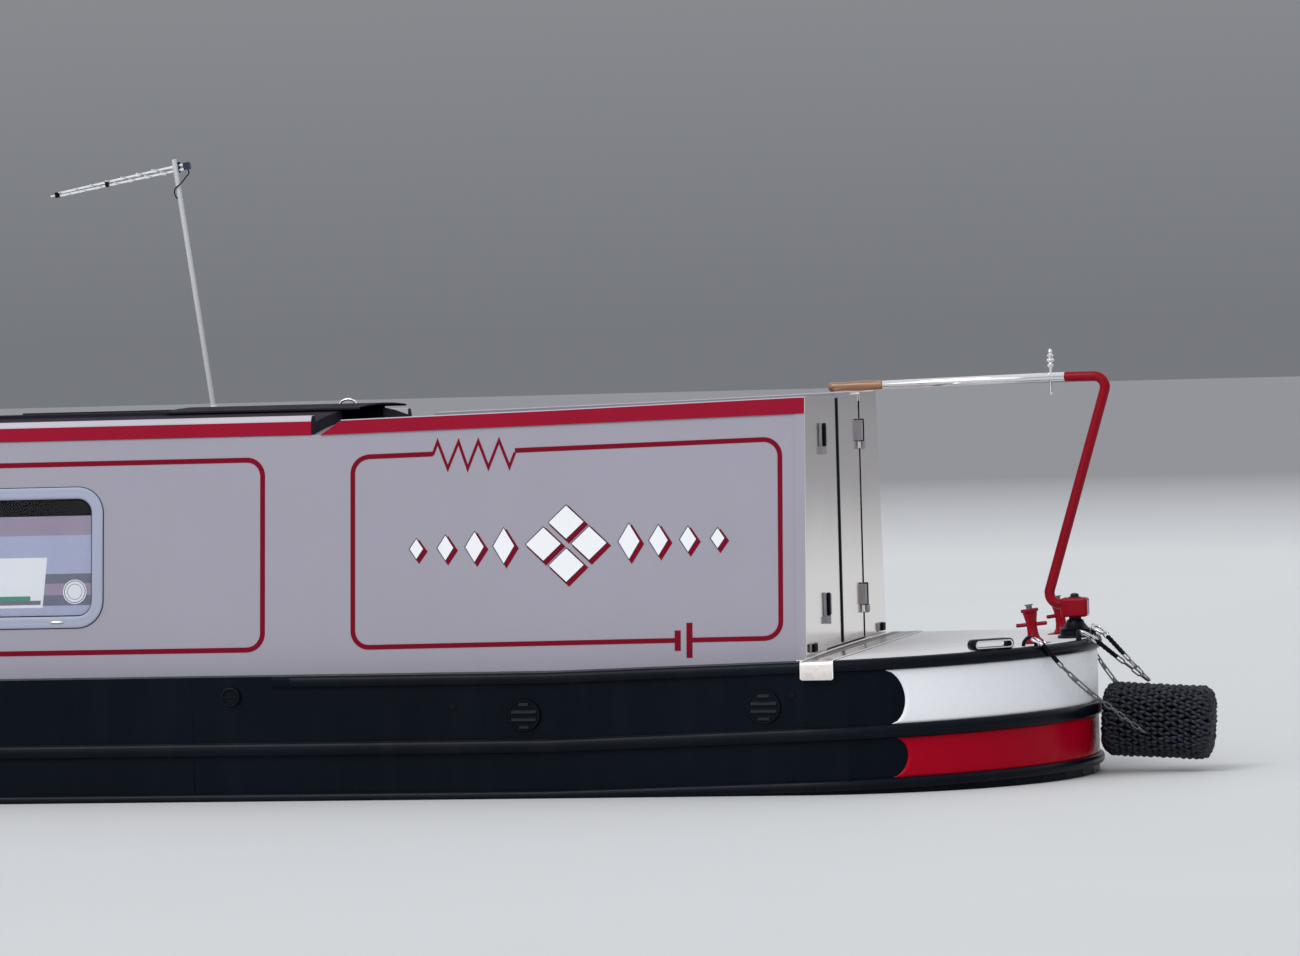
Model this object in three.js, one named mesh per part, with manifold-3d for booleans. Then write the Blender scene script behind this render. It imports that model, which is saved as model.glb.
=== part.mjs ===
// A steel canal boat of the narrow type, with a semi-enclosed steering cockpit and a tiller.
// Millimetres. +X points to the stern, +Y to starboard, +Z up, and z = 0 is the underside.
// Lengths along the boat are first given as s, measured aft from the stern bulkhead.
import * as THREE from 'three';
import { mergeVertices } from 'three/addons/utils/BufferGeometryUtils.js';
import Module from 'manifold-3d';

const wasm = await Module();
wasm.setup();

const GAP = 0.3;
const WATER = 600;
const STEM = -14220;
const FRONT = -11540;
const SWIM = -2450;
const COUNTER = 1000;
const FENDER_END = 1480;
const BOW_FENDER_END = -14380;
const MIDDLE = (FENDER_END + BOW_FENDER_END) / 2;
const PORT = -1;
const STARBOARD = 1;

const HULL_HALF = 1020;
const BOTTOM_HALF = 1005;
const WALL_INSIDE = 955;
const DECK_INSIDE = 855;
const COUNTER_UNDERSIDE = 585;
const FLOOR_TOP = 720;

// Heights above the water along the boat, on knuckles joined by straight lines.
// s, gunwale, middle guard's centre, lower guard's centre
const SHEER = [
  [STEM, 720, 400, 150],
  [-13500, 612, 315, 88],
  [-12600, 535, 240, 35],
  [FRONT, 490, 203, 10],
  [-1000, 490, 203, 10],
  [0, 515, 232, 33],
  [COUNTER, 540, 258, 54],
];

function sheer(s, column) {
  let i = 1;
  while (i < SHEER.length - 1 && s > SHEER[i][0]) i += 1;
  const [a, b] = [SHEER[i - 1], SHEER[i]];
  const t = Math.min(1, Math.max(0, (s - a[0]) / (b[0] - a[0])));
  return WATER + a[column] + t * (b[column] - a[column]);
}

const gunwale = (s) => sheer(s, 1);

// Cabin side: leans inboard from the gunwale up.
const LEAN = 0.1095;
const SIDE_FOOT = 905;
const SIDE_THICK = 50;
const sideOut = (z) => SIDE_FOOT - LEAN * (z - 1090);
const sideIn = (z) => sideOut(z) - SIDE_THICK;

// Cockpit rail: s, underside, top
const RAIL = [
  [-1951, 2033.5, 2033.5],
  [-1868, 2035, 2088],
  [-1000, 2052, 2107],
  [-40 - GAP, 2072, 2134],
];

function railAt(s, column) {
  let i = 1;
  while (i < RAIL.length - 1 && s > RAIL[i][0]) i += 1;
  const [a, b] = [RAIL[i - 1], RAIL[i]];
  const t = Math.min(1, Math.max(0, (s - a[0]) / (b[0] - a[0])));
  return a[column] + t * (b[column] - a[column]);
}

// Roof camber
const ROOF_CREST = 2132;
const ROOF_EDGE = 735;
const ROOF_DROP = 47;
const ROOF_THICK = 46;
const roofTop = (y) => ROOF_CREST - ROOF_DROP * (y / ROOF_EDGE) ** 2;
const roofUnder = (y) => roofTop(y) - ROOF_THICK;

// Solids

function closed(geometry) {
  const bare = new THREE.BufferGeometry();
  const plain = geometry.index ? geometry.toNonIndexed() : geometry;
  bare.setAttribute('position', plain.getAttribute('position').clone());
  const merged = mergeVertices(bare, 1e-3);
  const places = merged.attributes.position.array;
  const faces = new Uint32Array(merged.index.array);
  let volume = 0;
  const [a, b, c] = [new THREE.Vector3(), new THREE.Vector3(), new THREE.Vector3()];
  for (let i = 0; i < faces.length; i += 3) {
    a.fromArray(places, faces[i] * 3);
    b.fromArray(places, faces[i + 1] * 3);
    c.fromArray(places, faces[i + 2] * 3);
    volume += a.dot(b.cross(c));
  }
  if (volume < 0) {
    for (let i = 0; i < faces.length; i += 3) {
      [faces[i + 1], faces[i + 2]] = [faces[i + 2], faces[i + 1]];
    }
  }
  return new wasm.Manifold(new wasm.Mesh({ numProp: 3, vertProperties: places, triVerts: faces }));
}

const join = (solids) => solids.reduce((all, next) => all.add(next));
const cut = (solid, tools) => tools.reduce((left, tool) => left.subtract(tool), solid);

// A box between two values of s, y and z.
function box(s0, s1, y0, y1, z0, z1) {
  const geometry = new THREE.BoxGeometry(s1 - s0, y1 - y0, z1 - z0);
  geometry.translate((s0 + s1) / 2, (y0 + y1) / 2, (z0 + z1) / 2);
  return closed(geometry);
}

// The triangles between the two halves of a ring, in the ring's own order.
function stripCap(count) {
  const faces = [];
  for (let i = 0; i + 1 < count / 2; i += 1) {
    const j = count - 1 - i;
    faces.push([i, i + 1, j], [i + 1, j - 1, j]);
  }
  return faces;
}

// Rings of [s, y, z] points with one count, joined in order and capped at both ends. A ring that
// bothSides made is capped by strips from side to side, because its heights vary along the boat.
function loft(rings, strips = false) {
  const count = rings[0].length;
  const corners = [];
  const push = (...points) => points.forEach((point) => corners.push(...point));
  for (let r = 0; r + 1 < rings.length; r += 1) {
    for (let i = 0; i < count; i += 1) {
      const j = (i + 1) % count;
      push(rings[r][i], rings[r][j], rings[r + 1][j]);
      push(rings[r][i], rings[r + 1][j], rings[r + 1][i]);
    }
  }
  const spread = (axis) => {
    const all = rings[0].map((point) => point[axis]);
    return Math.max(...all) - Math.min(...all);
  };
  const thin = [0, 1, 2].sort((p, q) => spread(p) - spread(q))[0];
  const [u, v] = [0, 1, 2].filter((axis) => axis !== thin);
  const ends = [rings[0], rings[rings.length - 1]];
  ends.forEach((ring, end) => {
    const flat = ring.map((point) => new THREE.Vector2(point[u], point[v]));
    const turned = THREE.ShapeUtils.isClockWise(flat);
    const order = ring.map((_, i) => (turned ? ring.length - 1 - i : i));
    const cap = strips
      ? stripCap(order.length)
      : THREE.ShapeUtils.triangulateShape(order.map((i) => flat[i]), []);
    const along = end === 0 !== turned;
    cap.forEach(([p, q, r]) => {
      const [i, j, k] = [order[p], order[q], order[r]];
      if (along) push(ring[k], ring[j], ring[i]);
      else push(ring[i], ring[j], ring[k]);
    });
  });
  const geometry = new THREE.BufferGeometry();
  geometry.setAttribute('position', new THREE.Float32BufferAttribute(corners, 3));
  return closed(geometry);
}

// A [y, z] outline drawn out along the boat.
const runAlong = (outline, s0, s1) => loft([
  outline.map(([y, z]) => [s0, y, z]),
  outline.map(([y, z]) => [s1, y, z]),
]);

// An [s, y] outline drawn up.
const runUp = (outline, z0, z1) => loft([
  outline.map(([s, y]) => [s, y, z0]),
  outline.map(([s, y]) => [s, y, z1]),
]);

// An [s, z] outline drawn across.
const runAcross = (outline, y0, y1) => loft([
  outline.map(([s, z]) => [s, y0, z]),
  outline.map(([s, z]) => [s, y1, z]),
]);

// A turned piece: [radius, distance] points, turned about an axis through a place.
function turned(profile, place, axis, sides = 20) {
  const points = profile.map(([radius, along]) => new THREE.Vector2(radius, along));
  const geometry = new THREE.LatheGeometry(points, sides);
  const turn = new THREE.Quaternion().setFromUnitVectors(
    new THREE.Vector3(0, 1, 0),
    new THREE.Vector3(...axis).normalize(),
  );
  geometry.applyQuaternion(turn);
  geometry.translate(...place);
  return closed(geometry);
}

const rod = (place, axis, radius, length, sides = 20) => turned(
  [[0, 0], [radius, 0], [radius, length], [0, length]],
  place,
  axis,
  sides,
);

// A round bar between two places.
function bar(from, to, radius, sides = 10) {
  const way = to.map((value, i) => value - from[i]);
  return rod(from, way, radius, Math.hypot(...way), sides);
}

// A round bar along a smooth curve.
function tube(places, radius, steps, sides = 10) {
  const curve = new THREE.CatmullRomCurve3(places.map((place) => new THREE.Vector3(...place)));
  const shape = new THREE.Shape();
  for (let i = 0; i < sides; i += 1) {
    const angle = (2 * Math.PI * i) / sides;
    const [x, y] = [radius * Math.cos(angle), radius * Math.sin(angle)];
    if (i === 0) shape.moveTo(x, y);
    else shape.lineTo(x, y);
  }
  shape.closePath();
  const options = { steps, extrudePath: curve, bevelEnabled: false };
  return closed(new THREE.ExtrudeGeometry(shape, options));
}

const group = new THREE.Group();

function add(name, solid, colour) {
  const made = solid.getMesh();
  const geometry = new THREE.BufferGeometry();
  geometry.setAttribute('position', new THREE.Float32BufferAttribute(made.vertProperties, 3));
  geometry.setIndex(Array.from(made.triVerts));
  geometry.translate(-MIDDLE, 0, 0);
  const mesh = new THREE.Mesh(geometry, new THREE.MeshStandardMaterial({ color: colour }));
  mesh.name = name;
  group.add(mesh);
}

const sides = [
  ['port', PORT],
  ['starboard', STARBOARD],
];

const BLACK = 0x17181a;
const GREY = 0xa9a2ab;
const RED = 0xa01438;
const STEEL = 0xc8c9cb;
const ROOF = 0x4a4a50;

// Hull outlines

// Half breadth of the bow at one height: how far it reaches, how full it is, and two powers
const BOW_LEVELS = [
  { z: 12 + GAP, reach: 2330, full: BOTTOM_HALF, rise: 1.7, power: 1.05 },
  { z: WATER, reach: 2590, full: 1012, rise: 2.1, power: 0.86 },
  { z: null, reach: STEM * -1 + FRONT, full: HULL_HALF, rise: 2.4, power: 0.75 },
];
const BOW_STEPS = [0, 0.12, 0.24, 0.36, 0.48, 0.59, 0.69, 0.78, 0.86, 0.92, 0.965, 1];
const STEM_HALF = 16;

const bowHalf = (u, level) => Math.max(
  STEM_HALF,
  level.full * Math.max(0, 1 - u ** level.rise) ** level.power,
);
const bowPlace = (u, level) => FRONT - GAP - level.reach * u;
const bowTopHalf = (s) => bowHalf((FRONT - s) / BOW_LEVELS[2].reach, BOW_LEVELS[2]);

// Both sides of an outline, from the port end round the tip to the starboard end.
const bothSides = (line) => [
  ...line.map(([s, half]) => [s, -half]),
  ...[...line].reverse().map(([s, half]) => [s, half]),
];

const SWIM_STEPS = [0, 0.12, 0.24, 0.36, 0.48, 0.6, 0.72, 0.84, 1];
const SWIM_LENGTH = 2800;
const POST_HALF = 40;

function swimHalf(u, power) {
  return POST_HALF + (BOTTOM_HALF - POST_HALF) * (0.5 + 0.5 * Math.cos(Math.PI * u)) ** power;
}

const swimLine = (power, inset, length = SWIM_LENGTH) => SWIM_STEPS.map((step) => {
  const u = (step * length) / SWIM_LENGTH;
  return [SWIM + SWIM_LENGTH * u, swimHalf(u, power) - inset];
});

const COUNTER_ANGLES = [90, 80, 70, 60, 50, 40, 31, 22, 13, 5];
const counterLine = (half) => COUNTER_ANGLES.map((degrees) => {
  const angle = (degrees * Math.PI) / 180;
  return [COUNTER * Math.cos(angle), half * Math.sin(angle)];
});

// Rubbing guards: a half-round bar outside the hull, as a ring from one end of a line to the other.
const GUARD_OUT = 18;
const GUARD_SECTION = [
  [-12, 1],
  [9, 1],
  [GUARD_OUT, 0.5],
  [GUARD_OUT, -0.5],
  [9, -1],
  [-12, -1],
];

function guard(line, height, tall) {
  const rings = line.map(([s, y], i) => {
    const before = line[Math.max(0, i - 1)];
    const after = line[Math.min(line.length - 1, i + 1)];
    const way = new THREE.Vector2(after[0] - before[0], after[1] - before[1]).normalize();
    return GUARD_SECTION.map(([out, up]) => [
      s + out * way.y,
      y - out * way.x,
      height(s) + (up * tall) / 2,
    ]);
  });
  return loft(rings);
}

const TOP_GUARD = 46;
const MIDDLE_GUARD = 55;
const LOWER_GUARD = 42;
const TOP_GUARD_START = -2117;
const topGuardAt = (s) => gunwale(s) - TOP_GUARD / 2;

// Baseplate, with the skeg that carries the rudder's foot

const RUDDER = 925;
const SKEG_TOP = 50;
const baseLine = [
  ...BOW_STEPS.map((u) => [bowPlace(u, BOW_LEVELS[0]) + 15, bowHalf(u, BOW_LEVELS[0]) + 8]).reverse(),
  ...swimLine(1.1, -8),
];
const basePlate = runUp(bothSides(baseLine), 0, 12);
const skeg = box(300, RUDDER + 55, -45, 45, 0, 12)
  .add(box(SWIM + SWIM_LENGTH + 2, RUDDER + 55, -45, 45, 0, SKEG_TOP))
  .add(rod([RUDDER, 0, SKEG_TOP - 1], [0, 0, 1], 42, 31));
const heelCup = rod([RUDDER, 0, SKEG_TOP + 8], [0, 0, 1], 27, 40);
add('baseplate', basePlate.add(skeg).subtract(heelCup), BLACK);

// Hull sides amidships, each with its gunwale and guards

// y across and z of one side, outer face first, as factors that hold on both sides
function hullSection(topGuard) {
  const guardAt = (centre, tall) => [
    [HULL_HALF - 2, centre - tall / 2],
    [HULL_HALF + 9, centre - tall / 2],
    [HULL_HALF + GUARD_OUT, centre - tall / 4],
    [HULL_HALF + GUARD_OUT, centre + tall / 4],
    [HULL_HALF + 9, centre + tall / 2],
    [HULL_HALF - 2, centre + tall / 2],
  ];
  const top = gunwale(FRONT);
  const section = [
    [BOTTOM_HALF, 12 + GAP],
    ...guardAt(sheer(FRONT, 3), LOWER_GUARD),
    ...guardAt(sheer(FRONT, 2), MIDDLE_GUARD),
  ];
  if (topGuard) section.push(...guardAt(top - TOP_GUARD / 2, TOP_GUARD).slice(0, -1));
  section.push(
    [HULL_HALF, top],
    [DECK_INSIDE, top],
    [DECK_INSIDE, top - 12],
    [WALL_INSIDE, top - 12],
    [WALL_INSIDE, 12 + GAP],
  );
  return section;
}

const SKIN_FITTING = [-2287, 1012];
for (const [name, side] of sides) {
  const outline = hullSection(false).map(([y, z]) => [side * y, z]);
  add(`hull_side_${name}`, runAlong(outline, FRONT, SWIM - GAP), BLACK);
}

// Stern section: the swim below, the counter above, and the engine bay and cockpit inside

const sternLine = [[SWIM, HULL_HALF], [-1000, HULL_HALF], ...counterLine(HULL_HALF)];
const sternOutline = bothSides(sternLine);
const swimBody = loft([
  bothSides(swimLine(1.15, 0)).map(([s, y]) => [s, y, 12 + GAP]),
  bothSides(swimLine(0.9, 0)).map(([s, y]) => [s, y, COUNTER_UNDERSIDE + 5]),
]);
const counterBody = loft([
  sternOutline.map(([s, y]) => [s, y * 0.993, COUNTER_UNDERSIDE]),
  sternOutline.map(([s, y]) => [s, y, gunwale(s)]),
], true);
const sternGuards = [
  guard(sternOutline, (s) => sheer(s, 2), MIDDLE_GUARD),
  guard(sternOutline, (s) => sheer(s, 3), LOWER_GUARD),
  guard(
    bothSides([[TOP_GUARD_START, HULL_HALF], [-1000, HULL_HALF], ...counterLine(HULL_HALF)]),
    topGuardAt,
    TOP_GUARD,
  ),
];

const BULKHEAD_AFT = -1940;
const BULKHEAD_FORE = -1990;
const CABIN_FLOOR = 200;
const STERN_WALL = -40;
const bayCavity = loft([
  bothSides(swimLine(1.15, 36, 2330)).map(([s, y]) => [s, y, 60]),
  bothSides(swimLine(0.9, 36, 2330)).map(([s, y]) => [s, y, COUNTER_UNDERSIDE + 70]),
]);
const insideAft = box(BULKHEAD_AFT, STERN_WALL, -WALL_INSIDE, WALL_INSIDE, 640, 1079)
  .add(box(BULKHEAD_AFT, STERN_WALL, -DECK_INSIDE, DECK_INSIDE, 1000, 1200));
const insideFore = box(SWIM - 5, BULKHEAD_FORE, -WALL_INSIDE, WALL_INSIDE, 640, 1078)
  .add(box(SWIM - 5, BULKHEAD_FORE, -DECK_INSIDE, DECK_INSIDE, 1000, 1200));
const aboveWeb = box(BULKHEAD_FORE - 1, BULKHEAD_AFT + 1, -WALL_INSIDE, WALL_INSIDE, FLOOR_TOP, 1078)
  .add(box(BULKHEAD_FORE - 1, BULKHEAD_AFT + 1, -DECK_INSIDE, DECK_INSIDE, 1000, 1200));
const bayAft = bayCavity.intersect(box(BULKHEAD_AFT, 200, -1000, 1000, 0, 700));
const bayFore = bayCavity
  .add(box(SWIM - 5, SWIM + 5, -BOTTOM_HALF + 50, BOTTOM_HALF - 50, 60, 655))
  .intersect(box(SWIM - 10, BULKHEAD_FORE, -1000, 1000, CABIN_FLOOR, 700));

const SHAFT_HEIGHT = 300;
const TUBE_END = 445;
const engineBeds = sides.map(([, side]) => box(
  -1540,
  -720,
  Math.min(side * 150, side * 240),
  Math.max(side * 150, side * 240),
  50,
  230 - GAP,
));
const sternTube = rod([300, 0, SHAFT_HEIGHT], [1, 0, 0], 45, TUBE_END - 300);
const stockCollar = rod([RUDDER, 0, gunwale(RUDDER) - 40], [0, 0, 1], 60, 70);
const stockBore = rod([RUDDER, 0, 500], [0, 0, 1], 31, 800);

// Deck eyes for the fender chains: s, y
const SIDE_EYE = [820, 535];
const TIP_EYE = [967, 210];
const BOW_EYE = [-14060, 120];
// How far along an eye's bow each point lies, and how high
const EYE_ARC = [[-24, -8], [-22, 16], [0, 36], [22, 16], [24, -8]];
const deckEye = (s, y, alongBoat) => tube(EYE_ARC.map(([off, rise]) => [
  alongBoat ? s + off : s,
  alongBoat ? y : y + off,
  gunwale(s) + rise,
]), 6, 8, 6);

// Round louvred vents and outlets in the hull side: s, height, radius, stand
const HULL_ROUNDS = [
  [-1103, 925, 61, 7],
  [-150, 945, 62, 7],
  [SKIN_FITTING[0], SKIN_FITTING[1], 38, 10],
];
const hullRounds = HULL_ROUNDS.flatMap(([s, z, radius, stand]) => sides.map(([, side]) => (
  rod([s, side * (HULL_HALF - 12), z], [0, side, 0], radius, 12 + stand, 24)
)));

const sternSolid = cut(
  join([swimBody, counterBody, ...sternGuards, sternTube, stockCollar, ...hullRounds]),
  [insideAft, insideFore, aboveWeb, bayAft, bayFore, stockBore],
);
add('stern_section', join([
  sternSolid,
  ...engineBeds,
  deckEye(SIDE_EYE[0], SIDE_EYE[1], true),
  deckEye(SIDE_EYE[0], -SIDE_EYE[1], true),
  deckEye(TIP_EYE[0], TIP_EYE[1], false),
  deckEye(TIP_EYE[0], -TIP_EYE[1], false),
]), BLACK);
add('engine', box(-1500, -750, -250, 250, 230, 690 - 20), 0x3c4a44);

// Bow section: solid foreship with a well deck and a gas locker in it

const bowRings = BOW_LEVELS.map((level) => bothSides(
  BOW_STEPS.map((u) => [bowPlace(u, level), bowHalf(u, level)]),
).map(([s, y]) => [s, y, level.z === null ? gunwale(s) : level.z]));
const bowTop = BOW_STEPS.map((u) => [bowPlace(u, BOW_LEVELS[2]), bowHalf(u, BOW_LEVELS[2])]);
const bowWater = BOW_STEPS.map((u) => [bowPlace(u, BOW_LEVELS[1]), bowHalf(u, BOW_LEVELS[1])]);
const mixLines = (share) => bowTop.map(([s, half], i) => [
  bowWater[i][0] + share * (s - bowWater[i][0]),
  bowWater[i][1] + share * (half - bowWater[i][1]),
]);
const bowGuards = [
  guard(bothSides(mixLines(0.45)).reverse(), (s) => sheer(s, 2), MIDDLE_GUARD),
  guard(bothSides(mixLines(0.06)).reverse(), (s) => sheer(s, 3), LOWER_GUARD),
  guard(bothSides(mixLines(0.97)).reverse(), topGuardAt, TOP_GUARD),
];
// A low upstand round the foredeck and the well
const cantLine = bowTop.slice(2).map(([s, half]) => [s + 8, Math.max(6, half - 18)]);
const cants = loft(bothSides(cantLine).map(([s, y], i, line) => {
  const before = line[Math.max(0, i - 1)];
  const after = line[Math.min(line.length - 1, i + 1)];
  const way = new THREE.Vector2(after[0] - before[0], after[1] - before[1]).normalize();
  const top = gunwale(s) + 45;
  const foot = gunwale(s) - 6;
  return [
    [s - 9 * way.y, y + 9 * way.x, foot],
    [s - 9 * way.y, y + 9 * way.x, top],
    [s + 9 * way.y, y - 9 * way.x, top],
    [s + 9 * way.y, y - 9 * way.x, foot],
  ];
}));
const WELL_FLOOR = 760;
const WELL_END = -12950;
// s, half breadth of the well
const WELL = [[FRONT, DECK_INSIDE], [-12200, 790], [WELL_END, 640]];
const well = runUp(bothSides(WELL), WELL_FLOOR, 1600);
const GAS_AFT = -13150;
const GAS_FORE = -13780;
const gasLocker = box(GAS_FORE, GAS_AFT, -240, 240, 820, 1700);
const foreHalf = box(STEM - 200, FRONT - GAP, -1100, 1100, 0, 1700);
const bowSolid = cut(join([loft(bowRings, true), ...bowGuards, cants]), [well, gasLocker]).intersect(foreHalf);
const deckPlane = (s) => gunwale(GAS_FORE) + ((s - GAS_FORE) * (gunwale(GAS_AFT) - gunwale(GAS_FORE)))
  / (GAS_AFT - GAS_FORE);
// A level seat round the locker's mouth, so that its lid lies flat
const SEAT = 60;
const seatLine = [GAS_FORE - SEAT, GAS_AFT + SEAT];
const lockerSeat = cut(
  runAcross([
    [seatLine[0], deckPlane(seatLine[0]) - 60],
    [seatLine[1], deckPlane(seatLine[1]) - 60],
    [seatLine[1], deckPlane(seatLine[1]) + 24],
    [seatLine[0], deckPlane(seatLine[0]) + 24],
  ], -240 - SEAT, 240 + SEAT),
  [gasLocker],
);
const bowEyes = sides.map(([, side]) => deckEye(BOW_EYE[0], side * BOW_EYE[1], true));
add('bow_section', join([bowSolid, lockerSeat, ...bowEyes]), BLACK);
const lidLine = [GAS_FORE - 40, GAS_AFT + 40];
add('gas_locker_lid', runAcross([
  [lidLine[0], deckPlane(lidLine[0]) + 24 + GAP],
  [lidLine[1], deckPlane(lidLine[1]) + 24 + GAP],
  [lidLine[1], deckPlane(lidLine[1]) + 44],
  [lidLine[0], deckPlane(lidLine[0]) + 44],
], -280, 280), GREY);

// Cabin floor

add('cabin_floor', box(
  FRONT + 50 + GAP,
  SWIM - 0.6,
  -WALL_INSIDE + GAP,
  WALL_INSIDE - GAP,
  12 + GAP,
  CABIN_FLOOR,
), 0x8a6a45);

// Windows: the middle of each along s, and the shared size

const WINDOWS = [-3325, -5500, -7700, -9880];
const WINDOW_HEIGHT = 1568;
const WINDOW_WIDE = 950;
const WINDOW_TALL = 562;
const WINDOW_ROUND = 105;

// The corners of a rounded rectangle, as [across, up] points.
function roundedOutline(wide, tall, radius, corner = 4) {
  const points = [];
  const quarters = [[1, -1], [1, 1], [-1, 1], [-1, -1]];
  quarters.forEach(([across, up], quarter) => {
    for (let i = 0; i < corner; i += 1) {
      const angle = (Math.PI / 2) * (quarter - 1 + i / (corner - 1));
      points.push([
        across * (wide / 2 - radius) + radius * Math.cos(angle),
        up * (tall / 2 - radius) + radius * Math.sin(angle),
      ]);
    }
  });
  return points;
}

// Rounded loops on a cabin side, joined in order: how far each is let in, and how far it stands out.
function onSide(side, s, loops) {
  const out = new THREE.Vector3(0, side, LEAN).normalize();
  const along = new THREE.Vector3(-side, 0, 0);
  const up = new THREE.Vector3().crossVectors(out, along);
  const foot = new THREE.Vector3(s, side * sideOut(WINDOW_HEIGHT), WINDOW_HEIGHT);
  return loft(loops.map(([inset, stand]) => roundedOutline(
    WINDOW_WIDE - 2 * inset,
    WINDOW_TALL - 2 * inset,
    WINDOW_ROUND - inset,
  ).map(([u, v]) => {
    const place = foot.clone().addScaledVector(along, u).addScaledVector(up, v);
    return place.addScaledVector(out, stand).toArray();
  })));
}

function cabinSide(side) {
  const places = [FRONT, BULKHEAD_FORE, -1951, -1868, -1000, -40 - GAP];
  const panel = loft(places.map((s) => {
    const foot = gunwale(s) + GAP;
    const head = railAt(s, 1);
    return [
      [s, side * sideOut(foot), foot],
      [s, side * sideOut(head), head],
      [s, side * sideIn(head), head],
      [s, side * sideIn(foot), foot],
    ];
  }));
  const rail = loft(RAIL.map(([s, foot, top], i) => {
    const head = i === 0 ? foot + 1 : top;
    return [
      [s, side * (sideOut(foot) + 5), foot - 2],
      [s, side * (sideOut(head) + 5), head],
      [s, side * sideIn(head), head],
      [s, side * sideIn(foot - 2), foot - 2],
    ];
  }));
  const cuts = WINDOWS.map((s) => onSide(side, s, [[12, -80], [12, 30]]));
  return cut(panel.add(rail), cuts);
}

// Frame and pane: inset and stand of each loop, from the pane's back round the frame to its front
const WINDOW_LOOPS = [
  [46, -12],
  [46, -34],
  [14, -34],
  [14, GAP],
  [0, GAP],
  [0, 7],
  [46, 7],
  [46, -6],
];
const windowSolid = (side, s) => onSide(side, s, WINDOW_LOOPS);

for (const [name, side] of sides) {
  add(`cabin_side_${name}`, cabinSide(side), GREY);
  WINDOWS.forEach((s, i) => add(`window_${name}_${i + 1}`, windowSolid(side, s), STEEL));
}

// Roof, with its handrails and the runners of the sliding hatch

const CAMBER_STEPS = [740, 555, 370, 185, 0, -185, -370, -555, -740];
const SLOT_HALF = 330;
const SLOT_FORE = -2650;
const roofOutline = [
  ...CAMBER_STEPS.map((y) => [y, roofUnder(y)]),
  [-805, 2034],
  [-800, 2083],
  [-784, 2109],
  [-742, 2109],
  ...[...CAMBER_STEPS].reverse().map((y) => [y, roofTop(y)]),
  [742, 2109],
  [784, 2109],
  [800, 2083],
  [805, 2034],
];
const roofSolid = cut(
  runAlong(roofOutline, FRONT, BULKHEAD_FORE),
  [box(SLOT_FORE, BULKHEAD_FORE + 5, -SLOT_HALF, SLOT_HALF, 1900, 2300)],
);
const RUNNER = [345, 360];
const RUNNER_TOP = roofTop(RUNNER[0]) + 12;
const runners = sides.map(([, side]) => box(
  -3560,
  BULKHEAD_FORE,
  Math.min(side * RUNNER[0], side * RUNNER[1]),
  Math.max(side * RUNNER[0], side * RUNNER[1]),
  roofTop(RUNNER[1]) - 10,
  RUNNER_TOP,
));
const ROOF_VENTS = [-6600, -8800, -10900];
const roofVents = ROOF_VENTS.map((s) => turned(
  [[0, -10], [46, -10], [46, 30], [74, 34], [74, 42], [48, 58], [0, 66]],
  [s, 0, ROOF_CREST],
  [0, 0, 1],
  16,
));
add('roof', join([roofSolid, ...runners, ...roofVents]), ROOF);

const HATCH_TOP = 2146;
const hatchTop = (y) => HATCH_TOP - ROOF_DROP * (y / ROOF_EDGE) ** 2;
const HATCH_HALF = 385;
const hatchSteps = [-HATCH_HALF, -362, -343, -185, 0, 185, 343, 362, HATCH_HALF];
const hatchUnder = [
  [HATCH_HALF, roofTop(HATCH_HALF) + 7],
  [367, roofTop(367) + 7],
  [367, RUNNER_TOP + 0.5],
  [338, RUNNER_TOP + 0.5],
  [185, hatchTop(185) - 6],
  [0, hatchTop(0) - 6],
  [-185, hatchTop(185) - 6],
  [-338, RUNNER_TOP + 0.5],
  [-367, RUNNER_TOP + 0.5],
  [-367, roofTop(367) + 7],
  [-HATCH_HALF, roofTop(HATCH_HALF) + 7],
];
const HATCH_FORE = -2720;
const HATCH_AFT = -1905;
const hatchHandle = tube([
  [-2085, 0, HATCH_TOP - 2],
  [-2075, 0, HATCH_TOP + 12],
  [-2051, 0, HATCH_TOP + 17],
  [-2027, 0, HATCH_TOP + 12],
  [-2017, 0, HATCH_TOP - 2],
], 4.5, 8, 6);
add('hatch', runAlong(
  [...hatchSteps.map((y) => [y, hatchTop(y)]), ...hatchUnder],
  HATCH_FORE,
  HATCH_AFT,
).add(hatchHandle), ROOF);

// Cross walls and their doorways

const belowRoof = [740, 555, 370, 185, 0, -185, -370, -555, -740].map((y) => [y, roofUnder(y) - GAP]);
const crossWall = (foot, floorHalf) => {
  const edge = [
    [floorHalf, foot],
    [floorHalf, 1077],
    [DECK_INSIDE - 1, 1077],
    [sideIn(1140) - GAP, 1140],
    [sideIn(2033) - GAP, 2033],
  ];
  return [
    ...edge,
    ...belowRoof.slice(0),
    ...[...edge].reverse().map(([y, z]) => [-y, z]),
  ];
};
const AFT_DOOR = { half: 310, foot: 760, top: 2400 };
const FORE_DOOR = { half: 300, foot: 800, top: 1900 };
// Cockpit floor, engine hatch and side lockers

const HATCH_HOLE = [-1600, -600];
add('cockpit_floor', cut(
  box(BULKHEAD_AFT + GAP, STERN_WALL - GAP, -WALL_INSIDE + GAP, WALL_INSIDE - GAP, 700, FLOOR_TOP),
  [box(HATCH_HOLE[0], HATCH_HOLE[1], -340, 340, 600, 800)],
), 0x6b6d70);
add('engine_hatch', box(
  HATCH_HOLE[0] - 20,
  HATCH_HOLE[1] + 20,
  -360,
  360,
  FLOOR_TOP + GAP,
  FLOOR_TOP + 18,
), 0x77797c);

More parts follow.
